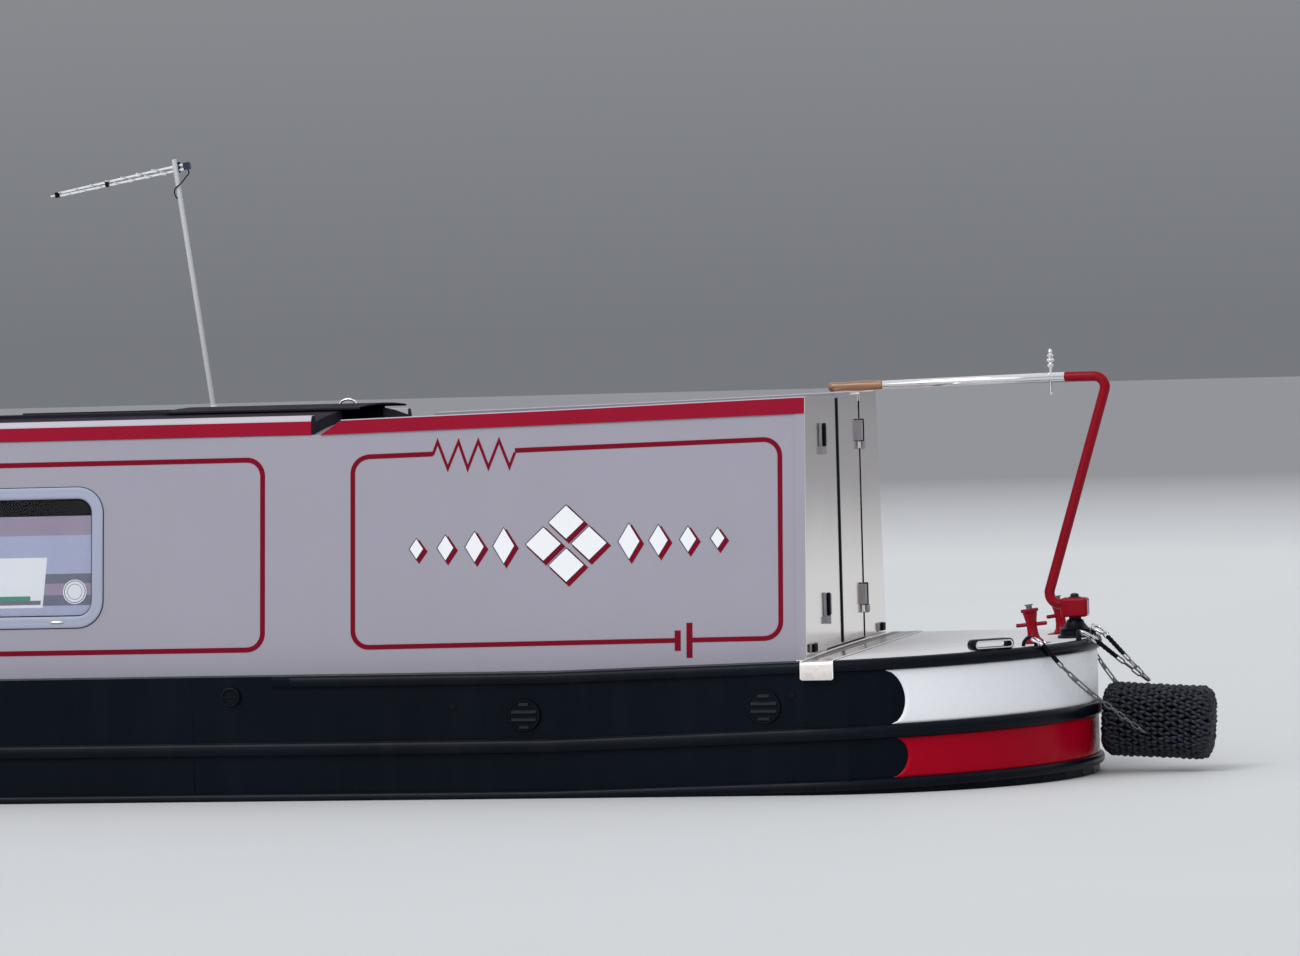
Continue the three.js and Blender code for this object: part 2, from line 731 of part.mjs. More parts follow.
const LOCKER = { fore: -1850, aft: -120, inner: 455, outer: 848, top: 1120 };
for (const [name, side] of sides) {
  const across = (inner, outer) => [
    Math.min(side * inner, side * outer),
    Math.max(side * inner, side * outer),
  ];
  const shell = box(
    LOCKER.fore,
    LOCKER.aft,
    ...across(LOCKER.inner, LOCKER.outer),
    FLOOR_TOP + GAP,
    LOCKER.top,
  );
  const inside = box(
    LOCKER.fore + 18,
    LOCKER.aft - 18,
    ...across(LOCKER.inner + 18, LOCKER.outer - 18),
    FLOOR_TOP + 18,
    LOCKER.top + 50,
  );
  add(`locker_${name}`, shell.subtract(inside), GREY);
  add(`locker_lid_${name}`, box(
    LOCKER.fore,
    LOCKER.aft,
    ...across(LOCKER.inner - 12, 838),
    LOCKER.top + GAP,
    LOCKER.top + 20,
  ), 0x9a9a9f);
}

// Doors: hinge side y, free side y, foot, top, face the hinge is on, inner face

const doorBox = (hinge, free, foot, top, faceA, faceB) => box(
  Math.min(faceA, faceB),
  Math.max(faceA, faceB),
  Math.min(hinge, free),
  Math.max(hinge, free),
  foot,
  top,
);

// Three knuckles up the hinge line, joined to the door by short straps
function knuckles(hingeS, hingeY, doorY, doorFace, heights) {
  return heights.flatMap((z) => [
    rod([hingeS, hingeY, z - 45], [0, 0, 1], 7, 90, 12),
    box(
      Math.min(hingeS, doorFace) - 3,
      Math.max(hingeS, doorFace) + 3,
      Math.min(hingeY, doorY),
      Math.max(hingeY, doorY),
      z - 40,
      z + 40,
    ),
  ]);
}

function door(spec) {
  const { hinge, free, foot, top, face, back, out, heights } = spec;
  const toward = Math.sign(free - hinge);
  const panel = doorBox(hinge + 3 * toward, free, foot, top, face, back);
  const strap = knuckles(face + out, hinge, hinge + 45 * toward, face + Math.sign(out) * 2, heights);
  return join([panel, ...strap]);
}

// The fixed lugs that the knuckles stand on, carried by the wall beside the door.
function lugs(hingeS, hingeY, wallY, wallFace, heights) {
  return join(heights.flatMap((z) => [
    rod([hingeS, hingeY, z - 76], [0, 0, 1], 7, 30.5, 12),
    box(
      Math.min(hingeS, wallFace) - 3,
      Math.max(hingeS, wallFace) + 3,
      Math.min(hingeY, wallY),
      Math.max(hingeY, wallY),
      z - 74,
      z - 47,
    ),
  ]));
}

const STERN_DOORS = { hinge: 450, middle: -70, foot: 1135, top: 2128, step: 1128 };
const STERN_HINGES = [1310, 1980];
const CABIN_HINGES = [950, 1880];
const BOW_HINGES = [930, 1760];
const HINGE_OUT = 14;
const FACE_BACK = 4;
add('stern_door_port', door({
  hinge: -STERN_DOORS.hinge,
  free: STERN_DOORS.middle - 6,
  foot: STERN_DOORS.foot,
  top: STERN_DOORS.top,
  face: -FACE_BACK,
  back: -34,
  out: HINGE_OUT,
  heights: STERN_HINGES,
}), STEEL);
add('stern_door_starboard', door({
  hinge: STERN_DOORS.hinge - 45,
  free: STERN_DOORS.middle + 6,
  foot: STERN_DOORS.foot,
  top: STERN_DOORS.top,
  face: -FACE_BACK,
  back: -34,
  out: HINGE_OUT,
  heights: STERN_HINGES,
}), STEEL);
for (const [name, side] of sides) {
  add(`cabin_door_${name}`, door({
    hinge: side * (AFT_DOOR.half - 4),
    free: side * 6,
    foot: AFT_DOOR.foot + 6,
    top: 2070,
    face: BULKHEAD_AFT - FACE_BACK,
    back: BULKHEAD_AFT - 30,
    out: HINGE_OUT,
    heights: CABIN_HINGES,
  }), GREY);
  add(`bow_door_${name}`, door({
    hinge: side * (FORE_DOOR.half - 4),
    free: side * 6,
    foot: FORE_DOOR.foot + 6,
    top: FORE_DOOR.top - 6,
    face: FRONT + FACE_BACK,
    back: FRONT + 30,
    out: -HINGE_OUT,
    heights: BOW_HINGES,
  }), GREY);
}

// Bulkheads at both ends of the cabin

add('aft_bulkhead', join([
  cut(
    runAlong(crossWall(FLOOR_TOP + GAP, WALL_INSIDE - 1), BULKHEAD_FORE + GAP, BULKHEAD_AFT),
    [box(BULKHEAD_FORE - 5, BULKHEAD_AFT + 5, -AFT_DOOR.half, AFT_DOOR.half, AFT_DOOR.foot, AFT_DOOR.top)],
  ),
  ...sides.map(([, side]) => lugs(
    BULKHEAD_AFT + HINGE_OUT - FACE_BACK,
    side * (AFT_DOOR.half - 4),
    side * (AFT_DOOR.half + 45),
    BULKHEAD_AFT - 3,
    CABIN_HINGES,
  )),
]), GREY);
add('fore_bulkhead', join([
  cut(
    runAlong(crossWall(12 + GAP, WALL_INSIDE - 1), FRONT, FRONT + 50),
    [box(FRONT - 5, FRONT + 55, -FORE_DOOR.half, FORE_DOOR.half, FORE_DOOR.foot, FORE_DOOR.top)],
  ),
  ...sides.map(([, side]) => lugs(
    FRONT - HINGE_OUT + FACE_BACK,
    side * (FORE_DOOR.half - 4),
    side * (FORE_DOOR.half + 45),
    FRONT + 3,
    BOW_HINGES,
  )),
]), GREY);

// Stern bulkhead panels and the tread plate at their foot

const panelTop = 2134;
const panel = (side, inner) => {
  const foot = gunwale(STERN_WALL) + GAP;
  return [
    [side * inner, foot],
    [side * (sideOut(foot) + 2), foot],
    [side * (sideOut(2071) + 2), 2071],
    [side * (sideOut(2071) + 5), 2072],
    [side * (sideOut(panelTop) + 5), panelTop],
    [side * inner, panelTop],
  ];
};
const sternPanel = (side, inner) => loft([STERN_WALL, 0].map((s) => (
  panel(side, inner).map(([y, z], i) => [s, y, i < 2 ? gunwale(s) + GAP : z])
)));
for (const [name, side, hinge] of [
  ['port', PORT, STERN_DOORS.hinge],
  ['starboard', STARBOARD, STERN_DOORS.hinge - 45],
]) {
  add(`stern_panel_${name}`, sternPanel(side, hinge + 6).add(
    lugs(HINGE_OUT - FACE_BACK, side * hinge, side * (hinge + 50), -3, STERN_HINGES),
  ), STEEL);
}

const LIP_OUT = HULL_HALF + GUARD_OUT + GAP;
const treadRing = (s) => {
  const deck = gunwale(s) + GAP;
  return [
    [s, -LIP_OUT, deck],
    [s, LIP_OUT, deck],
    [s, LIP_OUT, deck - 58],
    [s, LIP_OUT + 4, deck - 58],
    [s, LIP_OUT + 4, deck + 4],
    [s, -LIP_OUT - 4, deck + 4],
    [s, -LIP_OUT - 4, deck - 58],
    [s, -LIP_OUT, deck - 58],
  ];
};
const sillStep = loft([STERN_WALL, 0.6, 6].map((s) => [
  [s, -STERN_DOORS.hinge - 5, gunwale(s) + GAP],
  [s, STERN_DOORS.hinge - 45 + 5, gunwale(s) + GAP],
  [s, STERN_DOORS.hinge - 45 + 5, STERN_DOORS.step],
  [s, -STERN_DOORS.hinge - 5, STERN_DOORS.step],
]));
add('sill_plate', loft([0 + GAP, 130].map(treadRing)).add(sillStep), STEEL);

// Deck fittings aft

for (const [name, side] of sides) {
  const [s, y] = [820, side * 340];
  const foot = gunwale(s) + 4;
  const body = turned(
    [[0, 0], [36, 0], [36, 8], [24, 12], [20, 58], [22, 80], [33, 116], [33, 122], [0, 122]],
    [s, y, foot],
    [0, 0, 1],
    16,
  );
  const pin = rod([s - 60, y, foot + 66], [1, 0, 0], 8, 120, 10);
  const stud = rod([s, y, foot + 120], [0, 0, 1], 13, 18, 12);
  const flat = box(s - 50, s + 50, y - 50, y + 50, gunwale(s - 50) + GAP + 2.5, foot + 2);
  add(`dolly_${name}`, join([body, pin, stud, flat]), RED);
}

// One fairlead, near the edge on the port side: s, y
const FAIRLEAD = [690, -688];
const FAIRLEAD_DEPTH = 48;
const [fairleadShape, fairleadSlot] = [roundedOutline(196, 42, 20), roundedOutline(164, 20, 9)].map(
  (outline) => new THREE.Shape(outline.map(([u, v]) => new THREE.Vector2(u, v))),
);
fairleadShape.holes.push(fairleadSlot);
const fairlead = new THREE.ExtrudeGeometry(fairleadShape, { depth: FAIRLEAD_DEPTH, bevelEnabled: false });
fairlead.translate(0, 21, -FAIRLEAD_DEPTH / 2);
fairlead.rotateX(Math.PI / 2);
fairlead.rotateZ(Math.atan2(-FAIRLEAD[0] * 1.04, FAIRLEAD[1]));
fairlead.translate(FAIRLEAD[0], FAIRLEAD[1], gunwale(FAIRLEAD[0]) + 2.4);
add('fairlead', closed(fairlead), STEEL);

// Rudder with its tiller

const BLOCK_FOOT = 1222;
const BLOCK_TOP = 1299;
const blade = runAcross([
  [RUDDER - 150, 150],
  [RUDDER - 150, 520],
  [RUDDER + 290, 520],
  [RUDDER + 330, 480],
  [RUDDER + 330, 190],
  [RUDDER + 270, 120],
  [RUDDER - 120, 120],
], -12, 12);
const stock = rod([RUDDER, 0, SKEG_TOP + 8.5], [0, 0, 1], 25, BLOCK_FOOT - SKEG_TOP - 7, 16);
const block = box(RUDDER - 54, RUDDER + 54, -42, 42, BLOCK_FOOT, BLOCK_TOP);
const nut = rod([RUDDER, 0, BLOCK_TOP - 1], [0, 0, 1], 24, 18, 6);
add('rudder', join([blade, stock, block, nut]), RED);

// The tube's middle line runs straight between two tight bends: s, z
const NECK = {
  start: [RUDDER - 54 - GAP, 1269],
  low: [809, 1269],
  high: [1084, 2181],
  end: [909.5, 2181],
};
const BEND = 44;
const BEND_STEPS = 7;

// Places round a bend at a corner between two others, all in the middle plane.
function bend(before, corner, after) {
  const [p, q, r] = [before, corner, after].map(([s, z]) => new THREE.Vector2(s, z));
  const [back, on] = [p.sub(q).normalize(), r.sub(q).normalize()];
  const half = Math.acos(back.dot(on)) / 2;
  const middle = back.clone().add(on).normalize().multiplyScalar(BEND / Math.sin(half)).add(q);
  const spoke = back.clone().multiplyScalar(BEND / Math.tan(half)).add(q).sub(middle);
  const turn = Math.sign(on.cross(back)) * (Math.PI - 2 * half);
  return Array.from({ length: BEND_STEPS + 1 }, (_, i) => {
    const place = spoke.clone().rotateAround(new THREE.Vector2(), (turn * i) / BEND_STEPS).add(middle);
    return [place.x, place.y];
  });
}

// A round tube in the middle plane, with a ring of points at each place given.
function flatTube(places, radius, sides = 12) {
  return loft(places.map(([s, z], i) => {
    const [s0, z0] = places[Math.max(0, i - 1)];
    const [s1, z1] = places[Math.min(places.length - 1, i + 1)];
    const length = Math.hypot(s1 - s0, z1 - z0);
    const [along, up] = [(s1 - s0) / length, (z1 - z0) / length];
    return Array.from({ length: sides }, (__, k) => {
      const angle = (2 * Math.PI * k) / sides;
      const out = radius * Math.cos(angle);
      return [s - out * up, radius * Math.sin(angle), z + out * along];
    });
  }));
}

add('swan_neck', flatTube([
  NECK.start,
  ...bend(NECK.start, NECK.low, NECK.high),
  ...bend(NECK.low, NECK.high, NECK.end),
  NECK.end,
], 20.5), RED);
const BAR_START = NECK.end[0] - 0.7;
const barSolid = bar([BAR_START, 0, 2183], [170, 0, 2167], 17, 14);
const finial = turned(
  [[0, 0], [8, 4], [11, 14], [7, 24], [7, 112], [12, 120], [9, 132], [14, 150], [6, 168], [9, 178], [0, 188]],
  [852, 0, 2108],
  [0, 0, 1],
  12,
);
add('tiller_bar', barSolid.add(finial), STEEL);
add('tiller_grip', turned(
  [[0, 0], [18, 0], [19, 30], [20, 90], [17, 150], [19, 200], [15, 218], [0, 222]],
  [169.5, 0, 2167],
  [-1, 0, -0.022],
  14,
), 0x9a5a2a);

// Propeller

const HUB_START = TUBE_END + 0.6;
const hub = turned(
  [[0, 0], [34, 0], [38, 30], [36, 90], [22, 118], [0, 122]],
  [HUB_START, 0, SHAFT_HEIGHT],
  [1, 0, 0],
  18,
);
const blades = [0, 120, 240].map((degrees) => {
  const shape = new THREE.Shape();
  shape.absellipse(0, 122, 72, 96, 0, 2 * Math.PI);
  const geometry = new THREE.ExtrudeGeometry(shape, { depth: 9, bevelEnabled: false, curveSegments: 12 });
  geometry.translate(0, 0, -4.5);
  geometry.rotateY((-55 * Math.PI) / 180);
  const turn = new THREE.Matrix4().makeBasis(
    new THREE.Vector3(1, 0, 0),
    new THREE.Vector3(0, 0, 1),
    new THREE.Vector3(0, -1, 0),
  );
  geometry.applyMatrix4(turn);
  geometry.rotateX((degrees * Math.PI) / 180);
  geometry.translate(HUB_START + 58, 0, SHAFT_HEIGHT);
  return closed(geometry);
});
add('propeller', join([hub, ...blades]), 0x8c7a3c);

// Fenders and their chains

const FENDER_RADIUS = 150;
const FENDER_START = 1026;
const FENDER_HEIGHT = WATER + 217;
const FENDER_DROOP = 0.061;
const FENDER_FACE = 96;
const droop = Math.atan(FENDER_DROOP);
const fenderLength = (FENDER_END - FENDER_START - FENDER_FACE * Math.sin(droop)) / Math.cos(droop);
const fenderMiddle = (s) => FENDER_HEIGHT - FENDER_DROOP * (s - FENDER_START);
add('stern_fender', turned(
  [
    [0, 0],
    [92, 0],
    [130, 14],
    [FENDER_RADIUS, 48],
    [FENDER_RADIUS, fenderLength - 52],
    [132, fenderLength - 16],
    [FENDER_FACE, fenderLength],
    [0, fenderLength],
  ],
  [FENDER_START, 0, FENDER_HEIGHT],
  [1, 0, -FENDER_DROOP],
  24,
), 0x1c1c1e);

const LINK = { pitch: 64, lap: 11, wide: 30, wire: 4.4 };

// One oval link that reaches half a lap beyond two places, turned about its long side by an angle.
function link(from, to, roll) {
  const outer = LINK.wide / 2 - LINK.wire;
  const way = to.clone().sub(from);
  const straight = (way.length() + LINK.lap - LINK.wide) / 2;
  const steps = 8;
  const cornersOf = 4;
  const rings = [];
  for (let i = 0; i < steps; i += 1) {
    const angle = (2 * Math.PI * (i + 0.5)) / steps;
    const end = Math.sign(Math.cos(angle)) * straight;
    const out = new THREE.Vector3(Math.cos(angle), Math.sin(angle), 0);
    const spine = new THREE.Vector3(end + outer * out.x, outer * out.y, 0);
    const ring = [];
    for (let j = 0; j < cornersOf; j += 1) {
      const turn = (2 * Math.PI * j) / cornersOf;
      ring.push(spine.clone()
        .addScaledVector(out, LINK.wire * Math.cos(turn))
        .add(new THREE.Vector3(0, 0, LINK.wire * Math.sin(turn))));
    }
    rings.push(ring);
  }
  const corners = [];
  for (let i = 0; i < steps; i += 1) {
    const next = rings[(i + 1) % steps];
    for (let j = 0; j < cornersOf; j += 1) {
      const k = (j + 1) % cornersOf;
      for (const point of [rings[i][j], next[j], next[k], rings[i][j], next[k], rings[i][k]]) {
        corners.push(point.x, point.y, point.z);
      }
    }
  }
  const geometry = new THREE.BufferGeometry();
  geometry.setAttribute('position', new THREE.Float32BufferAttribute(corners, 3));
  geometry.rotateX(roll);
  geometry.applyQuaternion(new THREE.Quaternion().setFromUnitVectors(
    new THREE.Vector3(1, 0, 0),
    way.normalize(),
  ));
  geometry.translate(...from.add(to).multiplyScalar(0.5).toArray());
  return closed(geometry);
}

// A chain along straight stretches through the places given, its links joined to each other.
function chain(places) {
  const path = new THREE.CurvePath();
  for (let i = 0; i + 1 < places.length; i += 1) {
    path.add(new THREE.LineCurve3(
      new THREE.Vector3(...places[i]),
      new THREE.Vector3(...places[i + 1]),
    ));
  }
  const count = Math.max(1, Math.round(path.getLength() / LINK.pitch));
  return join(Array.from({ length: count }, (_, i) => (
    link(path.getPoint(i / count), path.getPoint((i + 1) / count), i % 2 === 0 ? 0 : Math.PI / 2)
  )));
}

// A chain from a deck eye over the edge to the fender, in a hose beyond the edge.
const HOSE = { length: 110, radius: 14 };
function hosedChain(eye, edge, end) {
  const [from, to] = [edge, end].map((place) => new THREE.Vector3(...place));
  const hoseEnd = from.clone().lerp(to, HOSE.length / from.distanceTo(to)).toArray();
  return join([chain([eye, edge]), bar(edge, hoseEnd, HOSE.radius, 8), chain([hoseEnd, end])]);
}

for (const [name, side] of sides) {
  const deck = gunwale(SIDE_EYE[0]);
  add(`fender_chain_${name}`, hosedChain(
    [SIDE_EYE[0] + 31.8, side * (SIDE_EYE[1] + 1), deck + 22],
    [903, side * 566, deck + 24],
    [1216, side * 148.6 + GAP, fenderMiddle(1216) - 56],
  ), STEEL);
}
add('fender_chain_centre', join(sides.map(([, side]) => hosedChain(
  [TIP_EYE[0] + 12, side * TIP_EYE[1], gunwale(TIP_EYE[0]) + 36],
  [1036, side * 172, 1160],
  [1231, 0, fenderMiddle(1231) + FENDER_RADIUS + 4.6],
))), STEEL);

// Bow fittings

const studPlace = -13990;
const studDeck = gunwale(studPlace);
add('t_stud', join([
  turned([[0, 0], [44, 0], [44, 8], [24, 14], [22, 120], [0, 120]], [studPlace, 0, studDeck + 12], [0, 0, 1], 14),
  rod([studPlace, -95, studDeck + 120], [0, 1, 0], 16, 190, 12),
  box(studPlace - 50, studPlace + 50, -50, 50, studDeck + 8.5, studDeck + 14),
]), RED);
const BOW_FENDER_START = STEM + 24;
const bowFenderLength = BOW_FENDER_START - BOW_FENDER_END;
const stemFender = turned(
  [[0, 0], [60, 0], [118, 28], [134, 84], [118, 138], [70, 176], [0, bowFenderLength]],
  [BOW_FENDER_START, 0, 1060],
  [-1, 0, 0],
  20,
);
const bowChains = sides.map(([, side]) => chain([
  [STEM - 60, side * 104, 1153.9],
  [STEM - 12, side * 108, 1385],
  [STEM + 70, side * 112, 1392],
  [STEM + 141.5, side * 118.5, 1333.4],
]));
add('bow_fender', stemFender, 0x1c1c1e);
bowChains.forEach((solid, i) => add(`bow_chain_${sides[i][0]}`, solid, STEEL));
const lampPlace = [FRONT + 60, 0, ROOF_CREST + 105];
add('headlamp', join([
  turned([[0, 0], [88, 0], [92, 12], [84, 40], [56, 92], [22, 112], [0, 114]], lampPlace, [1, 0, 0], 20),
  box(lampPlace[0] + 20, lampPlace[0] + 60, -14, 14, ROOF_CREST + 5, lampPlace[2] - 60),
  rod([lampPlace[0] + 40, 0, ROOF_CREST + GAP], [0, 0, 1], 40, 8, 16),
]), STEEL);

// Aerial on a leaning mast

const mastFoot = [-2748, 500, roofTop(500)];
const mastHead = [-2909, 500, WATER + 2592];
const BOOM = [[-3462, 500, WATER + 2451], [-2850, 500, WATER + 2570]];
const ELEMENTS = 14;
const elements = [];
for (let i = 0; i < ELEMENTS; i += 1) {
  const t = 0.03 + (0.82 * i) / (ELEMENTS - 1);
  const half = 34 + 66 * (i / (ELEMENTS - 1)) ** 1.2;
  const [s, , z] = BOOM[0].map((value, k) => value + t * (BOOM[1][k] - value));
  elements.push(box(s - 3, s + 3, 500 - half, 500 + half, z - 3, z + 3));
}
add('aerial', join([
  rod([mastFoot[0], 500, mastFoot[2] + 3], [0, 0, 1], 40, 8, 16),
  bar([mastFoot[0] + 0.6, 500, mastFoot[2] + 8], mastHead, 12.5, 12),
  bar(BOOM[0], BOOM[1], 9, 8),
  ...elements,
]), STEEL);

export default group;
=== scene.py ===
"""Looks for a steel narrowboat: paint, glass, rope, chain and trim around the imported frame."""
import math
import random

import bmesh
import bpy
from mathutils import Matrix, Vector


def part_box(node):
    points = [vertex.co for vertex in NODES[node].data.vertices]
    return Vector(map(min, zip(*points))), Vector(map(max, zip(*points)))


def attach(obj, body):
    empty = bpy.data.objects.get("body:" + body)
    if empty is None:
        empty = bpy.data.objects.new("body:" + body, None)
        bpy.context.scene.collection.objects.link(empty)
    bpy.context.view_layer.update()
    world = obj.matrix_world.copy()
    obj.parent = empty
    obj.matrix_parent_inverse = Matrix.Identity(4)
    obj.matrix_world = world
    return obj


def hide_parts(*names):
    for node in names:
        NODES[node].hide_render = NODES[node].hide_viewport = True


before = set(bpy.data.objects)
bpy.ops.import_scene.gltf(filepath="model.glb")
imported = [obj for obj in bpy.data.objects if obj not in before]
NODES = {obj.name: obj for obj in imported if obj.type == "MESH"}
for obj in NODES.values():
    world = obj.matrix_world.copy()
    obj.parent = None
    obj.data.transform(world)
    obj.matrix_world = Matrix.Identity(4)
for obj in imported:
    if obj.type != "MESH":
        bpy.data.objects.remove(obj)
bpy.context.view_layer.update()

# Driving places, in metres. +X is aft, +Y starboard, z = 0 the baseplate's underside.
STERN = 6.45
WATER = 0.6
SIDES = {"port": -1, "starboard": 1}
HULL_HALF = 1.02
COUNTER = 1.0
SWIM = STERN - 2.45
FRONT = STERN - 11.54
STEM = STERN - 14.22
COCKPIT = STERN - 1.951
RAIL_START = STERN - 1.868

# Height above the water along the boat: x, gunwale, middle guard, lower guard
SHEER = [
    (STEM, 0.720, 0.400, 0.150),
    (STERN - 13.5, 0.612, 0.315, 0.088),
    (STERN - 12.6, 0.535, 0.240, 0.035),
    (FRONT, 0.490, 0.203, 0.010),
    (STERN - 1.0, 0.490, 0.203, 0.010),
    (STERN, 0.515, 0.232, 0.033),
    (STERN + COUNTER, 0.540, 0.258, 0.054),
]
TOP, MIDDLE, LOWER = 1, 2, 3
GUARD_TALL = {TOP: 0.046, MIDDLE: 0.055, LOWER: 0.042}
GUARD_OUT = 0.0205

# Cabin side: how far out it stands at its foot, and how it leans in
SIDE_FOOT = 0.905
FOOT_HEIGHT = 1.09
LEAN = 0.1095

# Cockpit rail: x, underside, top
RAIL = [
    (COCKPIT, 2.0335, 2.0345),
    (RAIL_START, 2.035, 2.088),
    (STERN - 1.0, 2.052, 2.107),
    (STERN - 0.04, 2.072, 2.134),
    (STERN - 0.001, 2.073, 2.134),
]


def between(rows, x, column):
    """A column's value at x, on straight lines between the rows."""
    for a, b in zip(rows, rows[1:]):
        if x <= b[0] or b is rows[-1]:
            t = min(1, max(0, (x - a[0]) / (b[0] - a[0])))
            return a[column] + t * (b[column] - a[column])


def sheer(x, column):
    return WATER + between(SHEER, x, column)


def side_y(z):
    return SIDE_FOOT - LEAN * (z - FOOT_HEIGHT)


def outward(side):
    """The way that a cabin side faces, square to its lean."""
    return Vector((0, side, LEAN)).normalized()


def on_side(side, x, z, out=0.0):
    """A place on the cabin side, stood out from it."""
    return Vector((x, side * side_y(z), z)) + outward(side) * out


def put(name, data):
    """An object for a mesh, light or camera, linked to the scene."""
    thing = bpy.data.objects.new(name, data)
    bpy.context.scene.collection.objects.link(thing)
    return thing


# Camera, at the photograph's angle

CAMERA = Vector((10.7885, -23.7558, 2.4234))
FORWARD = Vector((-0.21101, 0.97732, -0.01761))
UPWARD = Vector((0.02314, 0.02300, 0.99947))
FOCAL_PIXELS = 6000
PHOTO_WIDE = 1300
PHOTO_TALL = 956
# Row of the photograph at the height of the camera's axis
AXIS_ROW = 433
SENSOR_WIDE = 36
# How far the camera sees, in metres
SIGHT = 500


def make_camera():
    data = bpy.data.cameras.new("camera")
    data.sensor_width = SENSOR_WIDE
    data.lens = SENSOR_WIDE * FOCAL_PIXELS / PHOTO_WIDE
    data.shift_y = (AXIS_ROW - PHOTO_TALL / 2) / PHOTO_WIDE
    data.clip_end = SIGHT
    camera = put("camera", data)
    right = FORWARD.cross(UPWARD).normalized()
    turn = Matrix((right, right.cross(FORWARD), -FORWARD)).transposed()
    camera.matrix_world = Matrix.Translation(CAMERA) @ turn.to_4x4()
    bpy.context.scene.camera = camera


# Mesh building

def square_to(way):
    """A unit way square to another, upward where it can be."""
    start = Vector((0, 0, 1)) if abs(way.z) < 0.9 else Vector((0, 1, 0))
    return (start - way * start.dot(way)).normalized()


def ways(path):
    """A frame along a path: each point, with two normals that don't twist."""
    out = []
    normal = None
    for i, point in enumerate(path):
        way = (path[min(i + 1, len(path) - 1)] - path[max(i - 1, 0)]).normalized()
        normal = square_to(way) if normal is None else (normal - way * normal.dot(way)).normalized()
        out.append((point, normal, way.cross(normal)))
    return out


def turns(count):
    """The angles of even steps round a circle."""
    return [2 * math.pi * i / count for i in range(count)]


def hoop(middle, u, v, radius, sides):
    """A ring of points round a place, in the plane of u and v."""
    return [middle + (u * math.cos(a) + v * math.sin(a)) * radius for a in turns(sides)]


def rounded(wide, tall, corner, steps=9):
    """(across, up) round a rectangle with round corners, about its middle."""
    loop = []
    for quarter, (u, v) in enumerate(((1, -1), (1, 1), (-1, 1), (-1, -1))):
        for i in range(steps):
            a = math.pi / 2 * (quarter - 1 + i / (steps - 1))
            across = u * (wide / 2 - corner) + corner * math.cos(a)
            loop.append((across, v * (tall / 2 - corner) + corner * math.sin(a)))
    return loop


# Least radius of a ring that stands for a point
POINT = 1e-5


class Form:
    """Points and faces of one piece, gathered in the boat's frame."""

    def __init__(self):
        self.points = []
        self.faces = []

    def rings(self, rings, looped=False):
        """Joins rings of points into a skin, closed at its two ends or run round into itself."""
        base = len(self.points)
        count = len(rings[0])
        for ring in rings:
            self.points += [tuple(point) for point in ring]
        joins = len(rings) if looped else len(rings) - 1
        for r in range(joins):
            a = base + r * count
            b = base + ((r + 1) % len(rings)) * count
            for i in range(count):
                j = (i + 1) % count
                self.faces.append((a + i, a + j, b + j, b + i))
        if not looped:
            self.faces.append(tuple(range(base + count - 1, base - 1, -1)))
            last = base + (len(rings) - 1) * count
            self.faces.append(tuple(range(last, last + count)))
        return self

    def grid(self, rows):
        """Joins rows of points into an open sheet."""
        base = len(self.points)
        wide = len(rows[0])
        self.points += [tuple(point) for row in rows for point in row]
        for r in range(len(rows) - 1):
            for c in range(wide - 1):
                a = base + r * wide + c
                self.faces.append((a, a + 1, a + wide + 1, a + wide))
        return self

    def box(self, corner, opposite):
        (x0, x1), (y0, y1), (z0, z1) = (sorted(pair) for pair in zip(corner, opposite))
        return self.rings([
            [(x, y0, z0), (x, y1, z0), (x, y1, z1), (x, y0, z1)] for x in (x0, x1)
        ])

    def turned(self, profile, place, axis, sides=24):
        """Turns (radius, distance) points about an axis through a place."""
        way = Vector(axis).normalized()
        u = square_to(way)
        v = way.cross(u)
        return self.rings([hoop(Vector(place) + way * d, u, v, max(r, POINT), sides) for r, d in profile])

    def rod(self, start, end, radius, sides=16, edge=0.0):
        """A round bar between two places, with its ends' edges taken off."""
        way = Vector(end) - Vector(start)
        length = way.length
        profile = [(radius, edge), (radius, length - edge)]
        if edge:
            profile = [(radius - edge, 0)] + profile + [(radius - edge, length)]
        return self.turned(profile, start, way, sides)

    def tube(self, path, radius, sides):
        return self.rings([hoop(p, u, v, radius, sides) for p, u, v in ways(path)])

    def laid(self, path, radius, twists, sides):
        """A three-strand rope: a trefoil section that twists along the path."""
        rows = []
        for i, (p, u, v) in enumerate(ways(path)):
            twist = 2 * math.pi * twists * i / (len(path) - 1)
            rows.append([
                p + (u * math.cos(a) + v * math.sin(a)) * (radius * (0.9 + 0.12 * math.cos(3 * (a - twist))))
                for a in turns(sides)
            ])
        return self.rings(rows)


def make(name, form, look, body="hull", smooth=35, bevel=0.0, bevel_steps=2, stands_for=None):
    """One piece: its look, the body it rides on, the node it stands for."""
    mesh = bpy.data.meshes.new(name)
    mesh.from_pydata(form.points, [], form.faces)
    work = bmesh.new()
    work.from_mesh(mesh)
    bmesh.ops.recalc_face_normals(work, faces=work.faces[:])
    work.to_mesh(mesh)
    work.free()
    mesh.materials.append(LOOKS[look])
    mesh.polygons.foreach_set("use_smooth", [True] * len(mesh.polygons))
    mesh.set_sharp_from_angle(angle=math.radians(smooth))
    piece = put(name, mesh)
    if bevel:
        edge = piece.modifiers.new("edge", "BEVEL")
        edge.width = bevel
        edge.segments = bevel_steps
        edge.limit_method = "ANGLE"
        edge.angle_limit = math.radians(smooth)
        edge.harden_normals = True
    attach(piece, body)
    if stands_for:
        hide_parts(stands_for)
    return piece


